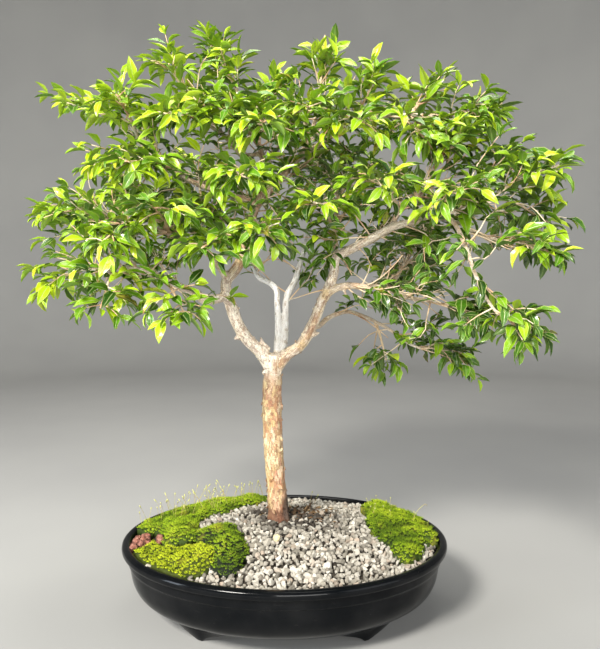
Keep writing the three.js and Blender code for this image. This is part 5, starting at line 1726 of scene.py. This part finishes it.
def leaf_skin():
    """Glossy leaves: deep green when old and yellow-green when young, brighter and yellower also as painted
    light where they stand high in the crown and far out to the left, a pale midrib and thin pale margin,
    side veins in the bump, brown blemishes on a few, a paler underside, and light that passes through."""
    f = Finish("leaf_skin")
    p = f.place()
    along, across = f.across_uv()
    age, hue, blemish, below = f.attributes("age", "hue", "blemish", "below")
    cloud = f.noise(p, 130, 3)
    fine = f.noise(p, 900, 3)
    # The leaf's age number, raised as painted light for leaves high in the crown and far out to the left
    shade = age + (cloud - 0.5) * 0.35 + (hue - 0.5) * 0.3
    green = f.ramp(shade, [(0.0, (0.014, 0.062, 0.004)), (0.2, (0.080, 0.222, 0.006)),
                           (0.42, (0.255, 0.455, 0.007)), (0.68, (0.470, 0.660, 0.010)),
                           (1.0, (0.640, 0.780, 0.035))])
    off_middle = abs(across - 0.5) * 2
    rib = (1 - off_middle.between(0.03, 0.15)) * (1 - along.between(0.75, 1.0))
    slanted = along * 14 - off_middle * 2.6
    veins = 1 - f.math("PINGPONG", slanted, 0.5).between(0.0, 0.16)
    green = f.blend(veins * 0.10, green, (0.40, 0.48, 0.14))
    green = f.blend(rib * 0.55, green, (0.46, 0.52, 0.20))
    margin = off_middle.between(0.86, 0.99)
    green = f.blend(margin * 0.6, green, (0.78, 0.82, 0.26))
    green = f.blend(below * 0.4, green, (0.27, 0.41, 0.10))
    tip_burn = (along + (cloud - 0.5) * 0.5).between(0.86, 1.0) * blemish.between(0.1, 0.5)
    spots = f.noise(p, 420, 3, 0.6).between(0.56, 0.62) * blemish.between(0.35, 0.7)
    yellowed = blemish.between(0.6, 0.95) * cloud.between(0.3, 0.6)
    green = f.blend(yellowed * 0.55, green, (0.56, 0.46, 0.05))
    green = f.blend(spots * 0.85, green, (0.20, 0.075, 0.02))
    colour = f.blend(tip_burn * 0.9, green, (0.26, 0.13, 0.05))
    height = rib * -1.2 + veins * 0.35 + cloud * 0.8 + fine * 0.25
    gloss = fine * 0.1 + below * 0.28 + 0.2
    skin = f.surface(Base_Color=colour, Roughness=gloss, Normal=f.bump(height, 0.4, 0.0006),
                     Specular_IOR_Level=0.5, Coat_Weight=0.2, Coat_Roughness=0.16)
    glow = f.node("ShaderNodeBsdfTranslucent", inputs={"Color": (0.44, 0.62, 0.02, 1)})
    return f.shown(f.node("ShaderNodeMixShader", inputs={0: 0.19, 1: skin, 2: glow}))


def make_floor(finish):
    """A round cove: a level floor that bends up by a quarter circle into a wall, turned about the middle."""
    bend = np.linspace(0, np.pi / 2, 12)
    radius = np.concatenate([[200, 900], 1900 + 700 * np.sin(bend), [2600]])
    height = np.concatenate([[0, 0], 700 * (1 - np.cos(bend)), [2500]])
    sides = 96
    turn = full_turn(sides)
    rings = [radius[:, None] * np.cos(turn), radius[:, None] * np.sin(turn), height[:, None]]
    corners = np.stack(np.broadcast_arrays(*rings), -1)
    corners = np.concatenate([corners.reshape(-1, 3), [[0, 0, 0]]]) * MM
    inward = [0, 3, 2, 1]
    quads = ring_quads(len(radius), sides)[:, inward]
    side = np.arange(sides)
    middle = np.stack([np.full(sides, len(radius) * sides), side, (side + 1) % sides], -1)
    mesh = bpy.data.meshes.new("studio_cove")
    mesh.from_pydata(corners, [], quads.tolist() + middle.tolist())
    mesh.polygons.foreach_set("use_smooth", np.ones(len(mesh.polygons), bool))
    cove = bpy.data.objects.new("studio_cove", mesh)
    bpy.context.scene.collection.objects.link(cove)
    mesh.materials.append(finish)


# The whole

place_camera()
light_studio()
make_floor(plain_finish("pale_floor", 3, 2, FLOOR_GREYS, 0.1, 0.75))
make_pot(satin_stoneware())
make_screens(plain_finish("screen_plastic", 800, 2, SCREEN_GREYS, 0.2, 0.4))
make_soil(dark_soil())
make_gravel(pumice_stone())
make_litter(plain_finish("dry_litter", 120, 4, LITTER_BROWNS, 0.2, 0.6))
make_moss({
    "moss_mid": moss("moss_mid", (0.032, 0.056, 0.004), (0.16, 0.27, 0.004), (0.56, 0.76, 0.02)),
    "moss_light": moss("moss_light", (0.045, 0.060, 0.004), (0.32, 0.40, 0.006), (0.86, 0.94, 0.03)),
    "moss_dark": moss("moss_dark", (0.006, 0.012, 0.002), (0.11, 0.20, 0.004), (0.48, 0.68, 0.02)),
})
make_moss_stalks(stalk_fibre())
make_lava(lava_rock())
bark = peeling_bark()
twig = twig_bark()
make_wood(bark)
make_bark_flakes(bark)
make_bare_twigs(twig)
foliage = [twig, leaf_skin()]
make_sprays(foliage)
make_inner_shoots(foliage)
